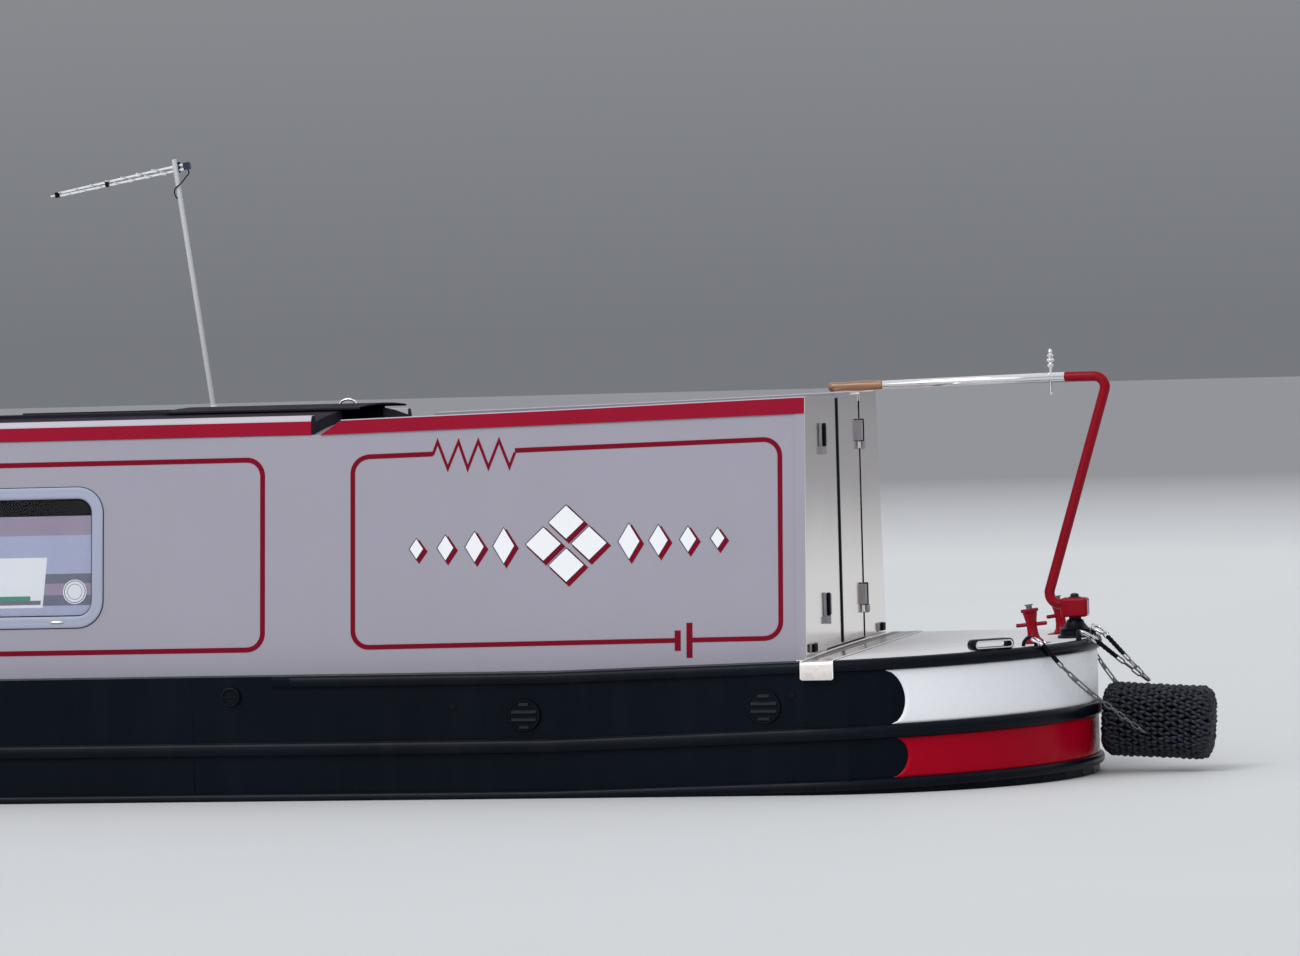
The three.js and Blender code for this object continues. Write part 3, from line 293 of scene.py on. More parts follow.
def smooth_path(places, steps):
    """A centripetal curve through the places, with steps points on each stretch."""
    p = [Vector(place) for place in places]
    p = [p[0] * 2 - p[1]] + p + [p[-1] * 2 - p[-2]]
    out = []
    for i in range(1, len(p) - 2):
        a, b, c, d = p[i - 1:i + 3]
        t0 = 0.0
        t1 = t0 + math.sqrt((b - a).length)
        t2 = t1 + math.sqrt((c - b).length)
        t3 = t2 + math.sqrt((d - c).length)
        for k in range(steps):
            t = t1 + (t2 - t1) * k / steps
            ab = a * ((t1 - t) / (t1 - t0)) + b * ((t - t0) / (t1 - t0))
            bc = b * ((t2 - t) / (t2 - t1)) + c * ((t - t1) / (t2 - t1))
            cd = c * ((t3 - t) / (t3 - t2)) + d * ((t - t2) / (t3 - t2))
            abc = ab * ((t2 - t) / (t2 - t0)) + bc * ((t - t0) / (t2 - t0))
            bcd = bc * ((t3 - t) / (t3 - t1)) + cd * ((t - t1) / (t3 - t1))
            out.append(abc * ((t2 - t) / (t2 - t1)) + bcd * ((t - t1) / (t2 - t1)))
    out.append(p[-2])
    return out


# Materials

class Look:
    """A node material built up from noise, bump and a few masks, in the object's own coordinates."""

    def __init__(self, name, **sockets):
        self.material = bpy.data.materials.new(name)
        self.material.use_nodes = True
        self.nodes = self.material.node_tree.nodes
        self.links = self.material.node_tree.links
        self.shader = self.nodes["Principled BSDF"]
        self.place = self.nodes.new("ShaderNodeTexCoord").outputs["Object"]
        self.bump_from = None
        for socket, value in sockets.items():
            self.shader.inputs[socket.replace("_", " ")].default_value = value

    def noise(self, scale, detail, stretch=(1, 1, 1)):
        mapping = self.nodes.new("ShaderNodeMapping")
        mapping.inputs["Scale"].default_value = stretch
        noise = self.nodes.new("ShaderNodeTexNoise")
        noise.inputs["Scale"].default_value = scale
        noise.inputs["Detail"].default_value = detail
        noise.inputs["Roughness"].default_value = 0.55
        self.links.new(self.place, mapping.inputs["Vector"])
        self.links.new(mapping.outputs["Vector"], noise.inputs["Vector"])
        return noise.outputs["Fac"]

    def spread(self, value, low, high, to_low=0.0, to_high=1.0):
        node = self.nodes.new("ShaderNodeMapRange")
        for key, number in (("From Min", low), ("From Max", high), ("To Min", to_low), ("To Max", to_high)):
            node.inputs[key].default_value = number
        self.links.new(value, node.inputs["Value"])
        return node.outputs["Result"]

    def mix(self, share, first, second):
        node = self.nodes.new("ShaderNodeMix")
        node.data_type = "RGBA"
        self.links.new(share, node.inputs["Factor"])
        for key, value in (("A", first), ("B", second)):
            socket = [s for s in node.inputs if s.name == key and s.type == "RGBA"][0]
            if isinstance(value, tuple):
                socket.default_value = (*value, 1)
            else:
                self.links.new(value, socket)
        return [s for s in node.outputs if s.type == "RGBA"][0]

    def drift(self, value, low, high, colour, dark, light):
        """A colour that runs from a darker to a lighter shade with a value."""
        return self.mix(self.spread(value, low, high), shade(colour, dark), shade(colour, light))

    def colour(self, value):
        self.links.new(value, self.shader.inputs["Base Color"])

    def rough(self, value, least, most, low=0.3, high=0.7):
        self.links.new(self.spread(value, low, high, least, most), self.shader.inputs["Roughness"])

    def bump(self, height, strength, distance):
        node = self.nodes.new("ShaderNodeBump")
        node.inputs["Strength"].default_value = strength
        node.inputs["Distance"].default_value = distance
        self.links.new(height, node.inputs["Height"])
        if self.bump_from:
            self.links.new(self.bump_from, node.inputs["Normal"])
        self.bump_from = node.outputs["Normal"]
        self.links.new(self.bump_from, self.shader.inputs["Normal"])


def shade(colour, factor):
    return tuple(min(1.0, value * factor) for value in colour)


def paint(name, colour, rough=0.3, gloss=0.2, vary=0.05, dirt=0.0, dirt_colour=None, orange=0.3):
    """Brushed or sprayed enamel: broad colour drift, faint streaks, orange peel and a little dirt."""
    look = Look(name, Specular_IOR_Level=gloss)
    base = look.drift(look.noise(1.6, 5), 0.3, 0.7, colour, 1 - vary, 1 + vary)
    if dirt:
        streaks = look.spread(look.noise(9, 6, stretch=(1, 1, 0.16)), 0.52, 0.78, 0, dirt)
        base = look.mix(streaks, base, dirt_colour)
    look.colour(base)
    look.rough(look.noise(14, 5), rough - 0.05, rough + 0.07)
    look.bump(look.noise(2.2, 2), 0.15, 0.004)
    look.bump(look.noise(420, 2), orange * 0.2, 0.0004)
    return look.material


def metal(name, colour, rough=0.25, brushed=(1, 1, 1), vary=0.08, spots=0.0, spot_colour=(0.2, 0.18, 0.15),
          wobble=0.0):
    """Bare metal: lines that change its roughness, with dull spots or a soft wobble if asked."""
    look = Look(name, Metallic=1.0)
    lines = look.noise(60, 6, stretch=brushed)
    base = look.drift(lines, 0.35, 0.65, colour, 1 - vary, 1 + vary)
    if spots:
        base = look.mix(look.spread(look.noise(22, 8), 0.56, 0.72, 0, spots), base, spot_colour)
    look.colour(base)
    look.rough(lines, rough * 0.8, rough * 1.3)
    if wobble:
        look.bump(look.noise(3.2, 1, stretch=(1, 1, 0.45)), wobble, 0.02)
    return look.material


def gritty(name, colour, rough=0.75, grit=600, depth=0.5, vary=0.12, gloss=0.3):
    """Non-slip paint, rubber or paper: a fine grain, worn lighter in patches."""
    look = Look(name, Specular_IOR_Level=gloss)
    base = look.drift(look.noise(2.4, 6), 0.3, 0.7, colour, 1 - vary, 1 + vary)
    grain = look.noise(grit, 3)
    base = look.mix(look.spread(grain, 0.45, 0.75, 0, 0.5), base, shade(colour, 1.5))
    look.colour(base)
    look.rough(look.noise(6, 4), rough - 0.08, rough + 0.08)
    look.bump(grain, depth, 0.0012)
    return look.material


def rope_look(name, colour):
    """Tarred rope: fine fibres, and a tone that changes from strand to strand."""
    look = Look(name, Specular_IOR_Level=0.35)
    fibres = look.noise(260, 6)
    base = look.drift(look.noise(34, 1), 0.35, 0.65, colour, 0.35, 2.2)
    base = look.mix(look.spread(fibres, 0.55, 0.75, 0, 0.6), base, shade(colour, 3.0))
    look.colour(base)
    look.rough(fibres, 0.38, 0.6)
    look.bump(fibres, 0.5, 0.0012)
    return look.material


def glass_look(name):
    """Clear glass, a little smeared."""
    look = Look(name, Transmission_Weight=1.0, IOR=1.18)
    smear = look.noise(7, 5, stretch=(1, 1, 0.5))
    look.colour(look.mix(smear, (0.90, 0.92, 0.95), (0.95, 0.96, 0.975)))
    look.rough(smear, 0.0, 0.04, 0.45, 0.75)
    return look.material


def timber(name, colour, varnish=0.5):
    """Varnished wood, with its grain along the boat."""
    look = Look(name, Coat_Weight=varnish, Coat_Roughness=0.12)
    grain = look.noise(28, 8, stretch=(0.25, 3, 3))
    look.colour(look.drift(grain, 0.35, 0.65, colour, 0.55, 1.25))
    look.rough(grain, 0.35, 0.5)
    look.bump(grain, 0.2, 0.0008)
    return look.material


GREY = (0.330, 0.315, 0.372)
CRIMSON = (0.290, 0.003, 0.024)
LOOKS = {
    "grey": paint("coach_grey", GREY, rough=0.36, gloss=0.22, vary=0.02, dirt=0.08,
                  dirt_colour=(0.25, 0.235, 0.26)),
    "crimson": paint("coach_crimson", CRIMSON, gloss=0.08, vary=0.06),
    "line": paint("line_crimson", (0.185, 0.002, 0.016), gloss=0.05, vary=0.08),
    "white": paint("coach_white", (0.84, 0.85, 0.88), rough=0.28, gloss=0.3, vary=0.015),
    "cap": paint("rail_white", (0.49, 0.455, 0.51), rough=0.4, gloss=0.2, vary=0.06),
    "outline": paint("outline_black", (0.012, 0.014, 0.03), rough=0.35),
    "red": paint("counter_red", (0.350, 0.0004, 0.012), rough=0.25, gloss=0.06, vary=0.08),
    "fitting_red": paint("fitting_red", (0.235, 0.0002, 0.009), rough=0.18, gloss=0.14, vary=0.10),
    "black": paint("hull_gloss", (0.0018, 0.0040, 0.0085), rough=0.30, gloss=0.06, vary=0.2, dirt=0.25,
                   dirt_colour=(0.010, 0.012, 0.016), orange=0.5),
    "guard": paint("guard_black", (0.0018, 0.0034, 0.0075), rough=0.30, gloss=0.10, vary=0.2, dirt=0.3,
                   dirt_colour=(0.012, 0.013, 0.016), orange=0.5),
    "louvre": paint("vent_black", (0.010, 0.013, 0.018), rough=0.32, gloss=0.25, vary=0.1),
    "roof": gritty("roof_grit", (0.022, 0.018, 0.028), gloss=0.05),
    "deck": gritty("deck_white", (0.60, 0.60, 0.62), rough=0.6, vary=0.06),
    "steel": metal("stainless_polished", (0.94, 0.87, 0.82), rough=0.13, brushed=(9, 9, 0.05), vary=0.03,
                   wobble=0.10),
    "chrome": metal("chrome", (0.80, 0.80, 0.82), rough=0.10, vary=0.02),
    "zinc": metal("galvanised", (0.17, 0.175, 0.195), rough=0.26, spots=0.5),
    "shackle": metal("bright_shackle", (0.74, 0.75, 0.78), rough=0.14, vary=0.05),
    "links": metal("long_link_steel", (0.20, 0.21, 0.235), rough=0.2, vary=0.05),
    # White beads on the stern tread's edges: painted highlights on polished steel.
    "edge": paint("edge_painted_highlight", (0.95, 0.94, 0.93), rough=0.2, gloss=0.5, vary=0.02),
    # Flat dark grey for the stainless tread's top: a painted reflection of its dark surroundings.
    "tread": paint("tread_painted_reflection", (0.20, 0.195, 0.205), rough=0.45, gloss=0.08, vary=0.12),
    "lip": metal("sill_steel", (0.78, 0.735, 0.70), rough=0.18, vary=0.05, wobble=0.10),
    "hinge": paint("hinge_grey", (0.33, 0.32, 0.345), rough=0.5, gloss=0.06, vary=0.06),
    "dark_metal": metal("dark_metal", (0.05, 0.05, 0.055), rough=0.42),
    "alloy": metal("aerial_alloy", (0.78, 0.79, 0.80), rough=0.42, vary=0.05),
    "mast": paint("mast_white", (0.60, 0.60, 0.64), rough=0.4, gloss=0.3, vary=0.03),
    "navy": paint("navy_plastic", (0.012, 0.016, 0.050), rough=0.4, gloss=0.4, vary=0.05),
    "frame": paint("window_frame", (0.340, 0.365, 0.470), rough=0.36, gloss=0.35, vary=0.02, orange=0.5),
    "rubber": gritty("rubber", (0.0040, 0.0040, 0.0055), rough=0.62, grit=900, depth=0.2, gloss=0.08),
    "rope": rope_look("tarred_rope", (0.0060, 0.0075, 0.0135)),
    # Near-black core under the fender's stitches: painted shade for the hollows between them.
    "painted_shade_core": gritty("fender_core_painted_shade", (0.0010, 0.0012, 0.0018), rough=0.9, gloss=0.02),
    "glass": glass_look("window_glass"),
    "sheet": gritty("paper", (0.95, 0.96, 0.98), rough=0.7, grit=300, depth=0.05, vary=0.02),
    "blind": gritty("dark_blind", (0.002, 0.002, 0.004), rough=0.8, grit=300, depth=0.1, gloss=0.02),
    "floor_wood": timber("cabin_boards", (0.30, 0.17, 0.08)),
    "grip": timber("turned_wood", (0.30, 0.12, 0.04), varnish=0.8),
    "engine": paint("engine_enamel", (0.05, 0.12, 0.08)),
    "floor": gritty("cockpit_covering", (0.09, 0.09, 0.10), rough=0.7, grit=260, depth=0.8),
    "bronze": metal("propeller_bronze", (0.46, 0.30, 0.12), rough=0.42, spots=0.6,
                    spot_colour=(0.09, 0.10, 0.07)),
    "lens": glass_look("lamp_lens"),
}
INKS = {"pink": (0.37, 0.30, 0.40), "lilac": (0.45, 0.47, 0.64), "slate": (0.17, 0.18, 0.24),
        "green": (0.07, 0.30, 0.19)}
for ink, tone in INKS.items():
    LOOKS[ink] = gritty(f"poster_{ink}", tone, rough=0.5, grit=300, depth=0.05, vary=0.04)

CAD_LOOKS = {
    "black": ["hull_side_port", "hull_side_starboard", "stern_section", "bow_section", "baseplate"],
    "grey": ["cabin_side_port", "cabin_side_starboard", "aft_bulkhead", "fore_bulkhead",
             "locker_port", "locker_starboard", "locker_lid_port", "locker_lid_starboard",
             "cabin_door_port", "cabin_door_starboard", "bow_door_port", "bow_door_starboard"],
    "roof": ["roof", "hatch", "gas_locker_lid"],
    "steel": ["stern_door_port", "stern_door_starboard", "stern_panel_port", "stern_panel_starboard",
              "sill_plate"],
    "floor": ["cockpit_floor", "engine_hatch"],
    "floor_wood": ["cabin_floor"],
    "engine": ["engine"],
    "bronze": ["propeller"],
    "fitting_red": ["t_stud"],
}


def dress_cad():
    for look, names in CAD_LOOKS.items():
        for name in names:
            for slot in NODES[name].material_slots:
                slot.material = LOOKS[look]


# Outline of the counter and of the bow

def stern_line(steps=64):
    """(x, y, outward) along the stern from the port swim round the tip to the starboard swim."""
    straight = [SWIM + (STERN - SWIM) * i / 12 for i in range(12)]
    line = [(x, -HULL_HALF, (0, -1)) for x in straight]
    for i in range(steps * 2 + 1):
        a = math.pi / 2 * (1 - i / steps)
        x, y = STERN + COUNTER * math.cos(a), -HULL_HALF * math.sin(a)
        way = Vector((HULL_HALF * math.cos(a), -COUNTER * math.sin(a))).normalized()
        line.append((x, y, tuple(way)))
    return line + [(x, HULL_HALF, (0, 1)) for x in reversed(straight)]


BOW_LEVELS = {
    "foot": {"reach": 2.33, "full": 1.005, "rise": 1.7, "power": 1.05},
    "water": {"reach": 2.59, "full": 1.012, "rise": 2.1, "power": 0.86},
    "top": {"reach": 2.68, "full": HULL_HALF, "rise": 2.4, "power": 0.75},
}
STEM_HALF = 0.016
BOW_STEPS = 48


def bow_point(i, level):
    """A place on the bow's outline, i steps from the stem: x, half breadth."""
    u = math.sin(math.pi / 2 * (1 - i / BOW_STEPS))
    shape = BOW_LEVELS[level]
    half = shape["full"] * max(0, 1 - u ** shape["rise"]) ** shape["power"]
    return FRONT - shape["reach"] * u, max(STEM_HALF, half)


def bow_line(share, side):
    """(x, y, outward) from the stem back along one side, between the water's line and the top's."""
    places = []
    for i in range(BOW_STEPS + 1):
        a, b = bow_point(i, "water"), bow_point(i, "top")
        places.append((a[0] + share * (b[0] - a[0]), side * (a[1] + share * (b[1] - a[1]))))
    line = []
    for i, (x, y) in enumerate(places):
        p, q = places[max(0, i - 1)], places[min(BOW_STEPS, i + 1)]
        way = Vector((p[1] - q[1], q[0] - p[0])).normalized() if i else Vector((-1, 0))
        line.append((x, y, (-abs(way.x), side * abs(way.y))))
    return line


def guard_form(form, line, column):
    """A half-round bar along a line of (x, y, outward)."""
    tall = GUARD_TALL[column]
    back = -0.004
    arc = [math.pi * k / 10 - math.pi / 2 for k in range(1, 10)]
    section = [(back, -tall / 2)]
    section += [(GUARD_OUT * math.cos(a) ** 0.7, math.sin(a) * (tall / 2 + 0.0006)) for a in arc]
    section += [(back, tall / 2)]
    rings = []
    for x, y, (nx, ny) in line:
        middle = sheer(x, column) - (tall / 2 if column == TOP else 0)
        rings.append([(x + out * nx, y + out * ny, middle + up) for out, up in section])
    form.rings(rings)


TOP_GUARD_START = STERN - 2.117
# Each guard's height at the bow, as a share of the way from the water's line to the top's
BOW_SHARES = {TOP: 0.97, MIDDLE: 0.45, LOWER: 0.06}


def make_guards():
    stern = Form()
    line = stern_line()
    guard_form(stern, [row for row in line if row[0] > TOP_GUARD_START], TOP)
    guard_form(stern, line, MIDDLE)
    guard_form(stern, line, LOWER)
    make("stern_guards", stern, "guard", smooth=50)
    sides = Form()
    for side in SIDES.values():
        for column in (MIDDLE, LOWER):
            guard_form(sides, [(x, side * HULL_HALF, (0, side)) for x in (FRONT, SWIM)], column)
        for column, share in BOW_SHARES.items():
            guard_form(sides, bow_line(share, side), column)
    make("side_guards", sides, "guard", smooth=50)


# Painted bands round the counter

# How far painted skins stand out from the steel
SKIN = 0.0012
# Where each band's D-shaped end lies, aft of the stern bulkhead: at its top, bulge and foot
BANDS = {
    "white": {"ends": (0.309, 0.390, 0.329), "over": MIDDLE, "under": TOP},
    "red": {"ends": (0.342, 0.395, 0.327), "over": LOWER, "under": MIDDLE},
}
BAND_ROWS = 17
BAND_COLUMNS = 120
BAND_THICK = 0.0014
# Each band runs this far under the guards above and below it
BAND_TUCK = 0.004
COUNTER_FOOT = 0.585
# How much narrower the counter is at its foot than at its deck, as a share
COUNTER_LEAN = 0.007


def along(line):
    """Distances along a line of (x, y, outward), from its first point."""
    total = [0.0]
    for a, b in zip(line, line[1:]):
        total.append(total[-1] + math.hypot(b[0] - a[0], b[1] - a[1]))
    return total


def place_at(line, distances, distance):
    """The place and the way outward at a distance along a line."""
    i = 1
    while i < len(line) - 1 and distances[i] < distance:
        i += 1
    a, b = line[i - 1], line[i]
    t = (distance - distances[i - 1]) / (distances[i] - distances[i - 1])
    x, y = (a[k] + t * (b[k] - a[k]) for k in (0, 1))
    return x, y, Vector(a[2]).lerp(Vector(b[2]), t).normalized()


def band_edges(x, band):
    """Heights of a band's foot and top, between its guards."""
    over, under = band["over"], band["under"]
    low = sheer(x, over) + GUARD_TALL[over] / 2 - BAND_TUCK
    high = sheer(x, under) - GUARD_TALL[under] * (1 if under == TOP else 0.5) + BAND_TUCK
    return low, high


def make_bands():
    line = stern_line(96)
    distances = along(line)
    for name, band in BANDS.items():
        top_end, bulge, foot_end = band["ends"]
        rise = bulge - (foot_end + top_end) / 2
        rows = []
        for r in range(BAND_ROWS):
            v = r / (BAND_ROWS - 1)
            chord = foot_end + v * (top_end - foot_end)
            end = chord + rise * math.sqrt(max(0, 1 - (2 * v - 1) ** 2)) ** 1.1
            first = STERN - SWIM + math.asin(min(1, end / COUNTER)) * COUNTER
            row = []
            for c in range(BAND_COLUMNS + 1):
                run = first + (distances[-1] - 2 * first) * c / BAND_COLUMNS
                x, y, way = place_at(line, distances, run)
                low, high = band_edges(x, band)
                z = low + v * (high - low)
                deck = sheer(x, TOP)
                tuck = 1 - COUNTER_LEAN * (deck - z) / (deck - COUNTER_FOOT)
                row.append((x + SKIN * way.x, (y + SKIN * way.y) * tuck, z))
            rows.append(row)
        piece = make(f"counter_band_{name}", Form().grid(rows), name, smooth=60)
        solid = piece.modifiers.new("thick", "SOLIDIFY")
        solid.thickness = BAND_THICK
        solid.offset = -1


BASEPLATE_TOP = 0.0123


def make_bow_skin():
    """A smooth plate over the bow's facets, from the baseplate to the gunwale."""
    for name, side in SIDES.items():
        rows = []
        for level, height in (("foot", BASEPLATE_TOP), ("water", WATER), ("top", None)):
            places = [bow_point(i, level) for i in range(BOW_STEPS + 1)]
            rows.append([(x - SKIN, side * (half + SKIN), height or sheer(x, TOP)) for x, half in places])
        make(f"bow_skin_{name}", Form().grid(rows), "black", smooth=60)


# Where the white deck starts, aft of the stern bulkhead, and how far it stays inside the guard
DECK_START = 0.132
DECK_INSET = 0.012


def make_deck():
    """White non-slip paint on the stern deck, inside the guard."""
    line = [(STERN + DECK_START, -HULL_HALF * math.sqrt(1 - DECK_START ** 2), (0, -1))]
    line += [row for row in stern_line() if row[1] <= 0 and row[0] > STERN + 0.13]
    rows = []
    for x, y, (nx, ny) in line:
        px, py = x - DECK_INSET * nx, y - DECK_INSET * ny
        rows.append([(px, side * min(0, py), sheer(px, TOP) + SKIN) for side in (1, -1)])
    make("stern_deck_paint", Form().grid(rows), "deck", smooth=30)


# Stripes and ornament on the cabin sides

# Paint lies on the side as thin plates: how deep they sink in it, and how far they stand out
SUNK = -0.0006
PLATE = 0.0009
FINE_PLATE = PLATE * 1.3
FACE_PLATE = PLATE * 1.6
OUTLINE_PLATE = PLATE * 1.8


def plate(form, side, outline, lift=PLATE):
    """A thin painted shape on the cabin side, from (x, z) points."""
    form.rings([[on_side(side, x, z, out) for x, z in outline] for out in (SUNK, lift)])


def stripe(form, side, points, wide, looped=False, lift=PLATE):
    """A painted line of even width through (x, z) points, mitred at its corners."""
    count = len(points)
    rings = []
    for i, (x, z) in enumerate(points):
        before = points[i - 1] if looped or i > 0 else None
        after = points[(i + 1) % count] if looped or i + 1 < count else None
        a = Vector((x - before[0], z - before[1])).normalized() if before else None
        b = Vector((after[0] - x, after[1] - z)).normalized() if after else None
        way = ((a or b) + (b or a)).normalized()
        mitre = Vector((-way.y, way.x))
        edge = Vector((-(b or a).y, (b or a).x))
        reach = wide / 2 / max(0.3, mitre.dot(edge))
        places = [(x + mitre.x * reach * turn, z + mitre.y * reach * turn) for turn in (1, -1)]
        rings.append([on_side(side, *place, SUNK) for place in places]
                     + [on_side(side, *place, lift) for place in reversed(places)])
    form.rings(rings, looped=looped)


def arc_points(centre, radius, start, end, steps=8):
    angles = [start + (end - start) * i / steps for i in range(steps + 1)]
    return [(centre[0] + radius * math.cos(a), centre[1] + radius * math.sin(a)) for a in angles]


# The long panel round the windows
PANEL = {"fore": FRONT + 0.20, "aft": STERN - 2.19, "foot": 1.19, "top": 1.94, "corner": 0.065}
LINE_WIDE = 0.020
# Where the roof's handrail and its band end, by the cockpit
RAIL_END = STERN - 1.9903
RAIL_CAP = [(0.8015, 2.0875), (0.8005, 2.0935), (0.7960, 2.1020), (0.7880, 2.1085), (0.7800, 2.1105),
            (0.7480, 2.1105), (0.7410, 2.1080), (0.7395, 2.0860), (0.7700, 2.0875)]
RAIL_FACE = [(0.8065, 2.0345), (0.7955, 2.0345), (0.7945, 2.0880), (0.8013, 2.0880)]


def make_coach_lines():
    lines, crimson, white = Form(), Form(), Form()
    middle = ((PANEL["aft"] + PANEL["fore"]) / 2, (PANEL["top"] + PANEL["foot"]) / 2)
    loop = rounded(PANEL["aft"] - PANEL["fore"], PANEL["top"] - PANEL["foot"], PANEL["corner"])
    for side in SIDES.values():
        stripe(lines, side, [(middle[0] + x, middle[1] + z) for x, z in loop], LINE_WIDE, looped=True)
        rail_band(crimson, side)
        rail_cap(white, side)
    make("coach_lines", lines, "line", smooth=30)
    make("rail_bands", crimson, "crimson", smooth=30)
    make("rail_caps", white, "cap", smooth=40)


def rail_band(form, side):
    """The crimson band: along the roof's edge forward, and on the cockpit's rail aft."""
    form.rings([[(x, side * y, z) for y, z in RAIL_FACE] for x in (FRONT, RAIL_END)])
    rings = []
    for x, foot, top in RAIL:
        high = top - 0.0005
        corners = ((foot, 0.0065), (high, 0.0065), (high, -0.004), (foot, -0.004))
        rings.append([(x, side * (side_y(z) + out), z - (0.001 if z == foot else 0)) for z, out in corners])
    form.rings(rings)


def rail_cap(form, side):
    """White tops: the roof's handrail forward, and a thin line on the cockpit's rail aft."""
    form.rings([[(x, side * y, z) for y, z in RAIL_CAP] for x in (FRONT, RAIL_END)])
    corners = ((0, -0.0004), (0.001, 0.0030), (0.052, 0.0030), (0.053, -0.0004))
    form.rings([
        [(x, side * (side_y(top) + 0.0065 - inward), top + rise) for inward, rise in corners]
        for x, _, top in RAIL[1:]
    ])


# Places in the stern panel, aft of the stern bulkhead and above the water
FRAME_LINE = {"fore": -1.82, "aft": -0.10, "fore_top": 1.341, "aft_top": 1.374, "fore_foot": 0.593,
              "aft_foot": 0.603, "corner": 0.065, "wide": 0.019}
ZIGZAG = [(-1.494, 1.343), (-1.474, 1.395), (-1.433, 1.289), (-1.389, 1.393), (-1.352, 1.287),
          (-1.309, 1.394), (-1.268, 1.289), (-1.225, 1.395), (-1.183, 1.290), (-1.161, 1.346)]
ZIGZAG_WIDE = 0.011
# Two upright bars in a gap of the lower line: place, foot, top
BARS = [(-0.510, 0.560, 0.639), (-0.463, 0.532, 0.668)]
BAR_WIDE = 0.024


def boat(points):
    """Points given aft of the bulkhead and above the water, in the boat's frame."""
    return [(STERN + s, WATER + z) for s, z in points]


def frame_stripes(form, side):
    """A frame round the ornament, with a zigzag in its upper line and two bars in its lower."""
    fore, aft, c = FRAME_LINE["fore"], FRAME_LINE["aft"], FRAME_LINE["corner"]
    quarter = math.pi / 2

    def height(edge, s):
        first, last = FRAME_LINE["fore_" + edge], FRAME_LINE["aft_" + edge]
        return first + (last - first) / (aft - fore) * (s - fore)

    def on(edge, s):
        return s, height(edge, s)

    after = [on("foot", BARS[1][0]), on("foot", aft - c)]
    after += arc_points((aft - c, height("foot", aft) + c), c, -quarter, 0)[1:]
    after += arc_points((aft - c, height("top", aft) - c), c, 0, quarter)
    after += [on("top", ZIGZAG[-1][0])]
    before = [on("top", ZIGZAG[0][0]), on("top", fore + c)]
    before += arc_points((fore + c, height("top", fore) - c), c, quarter, 2 * quarter)[1:]
    before += arc_points((fore + c, height("foot", fore) + c), c, 2 * quarter, 3 * quarter)
    before += [on("foot", BARS[0][0])]
    for points in (after, before):
        stripe(form, side, boat(points), FRAME_LINE["wide"])
    stripe(form, side, boat(ZIGZAG), ZIGZAG_WIDE, lift=FINE_PLATE)
    for s, low, high in BARS:
        stripe(form, side, boat([(s, low), (s, high)]), BAR_WIDE, lift=FINE_PLATE)


def lozenge(centre, half_wide, half_tall):
    corners = [(half_wide, 0), (0, half_tall), (-half_wide, 0), (0, -half_tall)]
    return boat([(centre[0] + x, centre[1] + z) for x, z in corners])


def ring_plate(form, side, outer, inner, lift):
    """The frame between two outlines of one count."""
    form.rings([
        [on_side(side, *p, SUNK), on_side(side, *p, lift), on_side(side, *q, lift), on_side(side, *q, SUNK)]
        for p, q in zip(outer, inner)
    ], looped=True)


ORNAMENT = (-0.955, 0.985)
# How far aft and down the crimson shadow lies
SHADOW = 0.011


def ornament_shapes():
    """A group of four lozenges, and a row that grows smaller on both sides: centre, half sizes."""
    s, z = ORNAMENT
    around = ((0, 0.084), (0.092, 0), (0, -0.084), (-0.092, 0))
    shapes = [((s + ds, z + dz), 0.074, 0.070) for ds, dz in around]
    for side in (-1, 1):
        for k in range(4):
            place = (s + side * (0.252 + 0.118 * k), z + 0.016 * side * (0.25 + 0.12 * k))
            shapes.append((place, 0.046 - 0.005 * k, 0.074 - 0.010 * k))
    return shapes


def make_stern_ornament():
    """A generic lozenge pattern in white, black and crimson."""
    for name, side in SIDES.items():
        shadow, face, outline = Form(), Form(), Form()
        frame_stripes(shadow, side)
        for centre, half_wide, half_tall in ornament_shapes():
            drop = (centre[0] + SHADOW, centre[1] - SHADOW)
            inner = lozenge(centre, half_wide - 0.004, half_tall - 0.005)
            plate(shadow, side, lozenge(drop, half_wide + 0.004, half_tall + 0.004))
            ring_plate(outline, side, lozenge(centre, half_wide, half_tall), inner, OUTLINE_PLATE)
            plate(face, side, inner, FACE_PLATE)
        make(f"stern_lines_{name}", shadow, "line", smooth=30)
        make(f"ornament_outline_{name}", outline, "outline", smooth=30)
        make(f"ornament_face_{name}", face, "white", smooth=30)


# Windows

WINDOWS = [-3.325, -5.5, -7.7, -9.88]
WINDOW = {"height": 1.568, "wide": 0.950, "tall": 0.562, "corner": 0.105}


def flat_place(side, s, across, above, stand):
    """A place on a window's plane: across is aft, above is up the side."""
    up = Vector((0, -side * LEAN, 1)).normalized()
    middle = Vector((STERN + s, side * side_y(WINDOW["height"]), WINDOW["height"]))
    return middle + Vector((across, 0, 0)) + up * above + outward(side) * stand


def window_loop(side, s, inset, stand):
    """The window's outline, this far in from its frame's edge and out from the cabin side."""
    corner = max(0.012, WINDOW["corner"] - inset)
    loop = rounded(WINDOW["wide"] - 2 * inset, WINDOW["tall"] - 2 * inset, corner)
    return [flat_place(side, s, -side * across, above, stand) for across, above in loop]


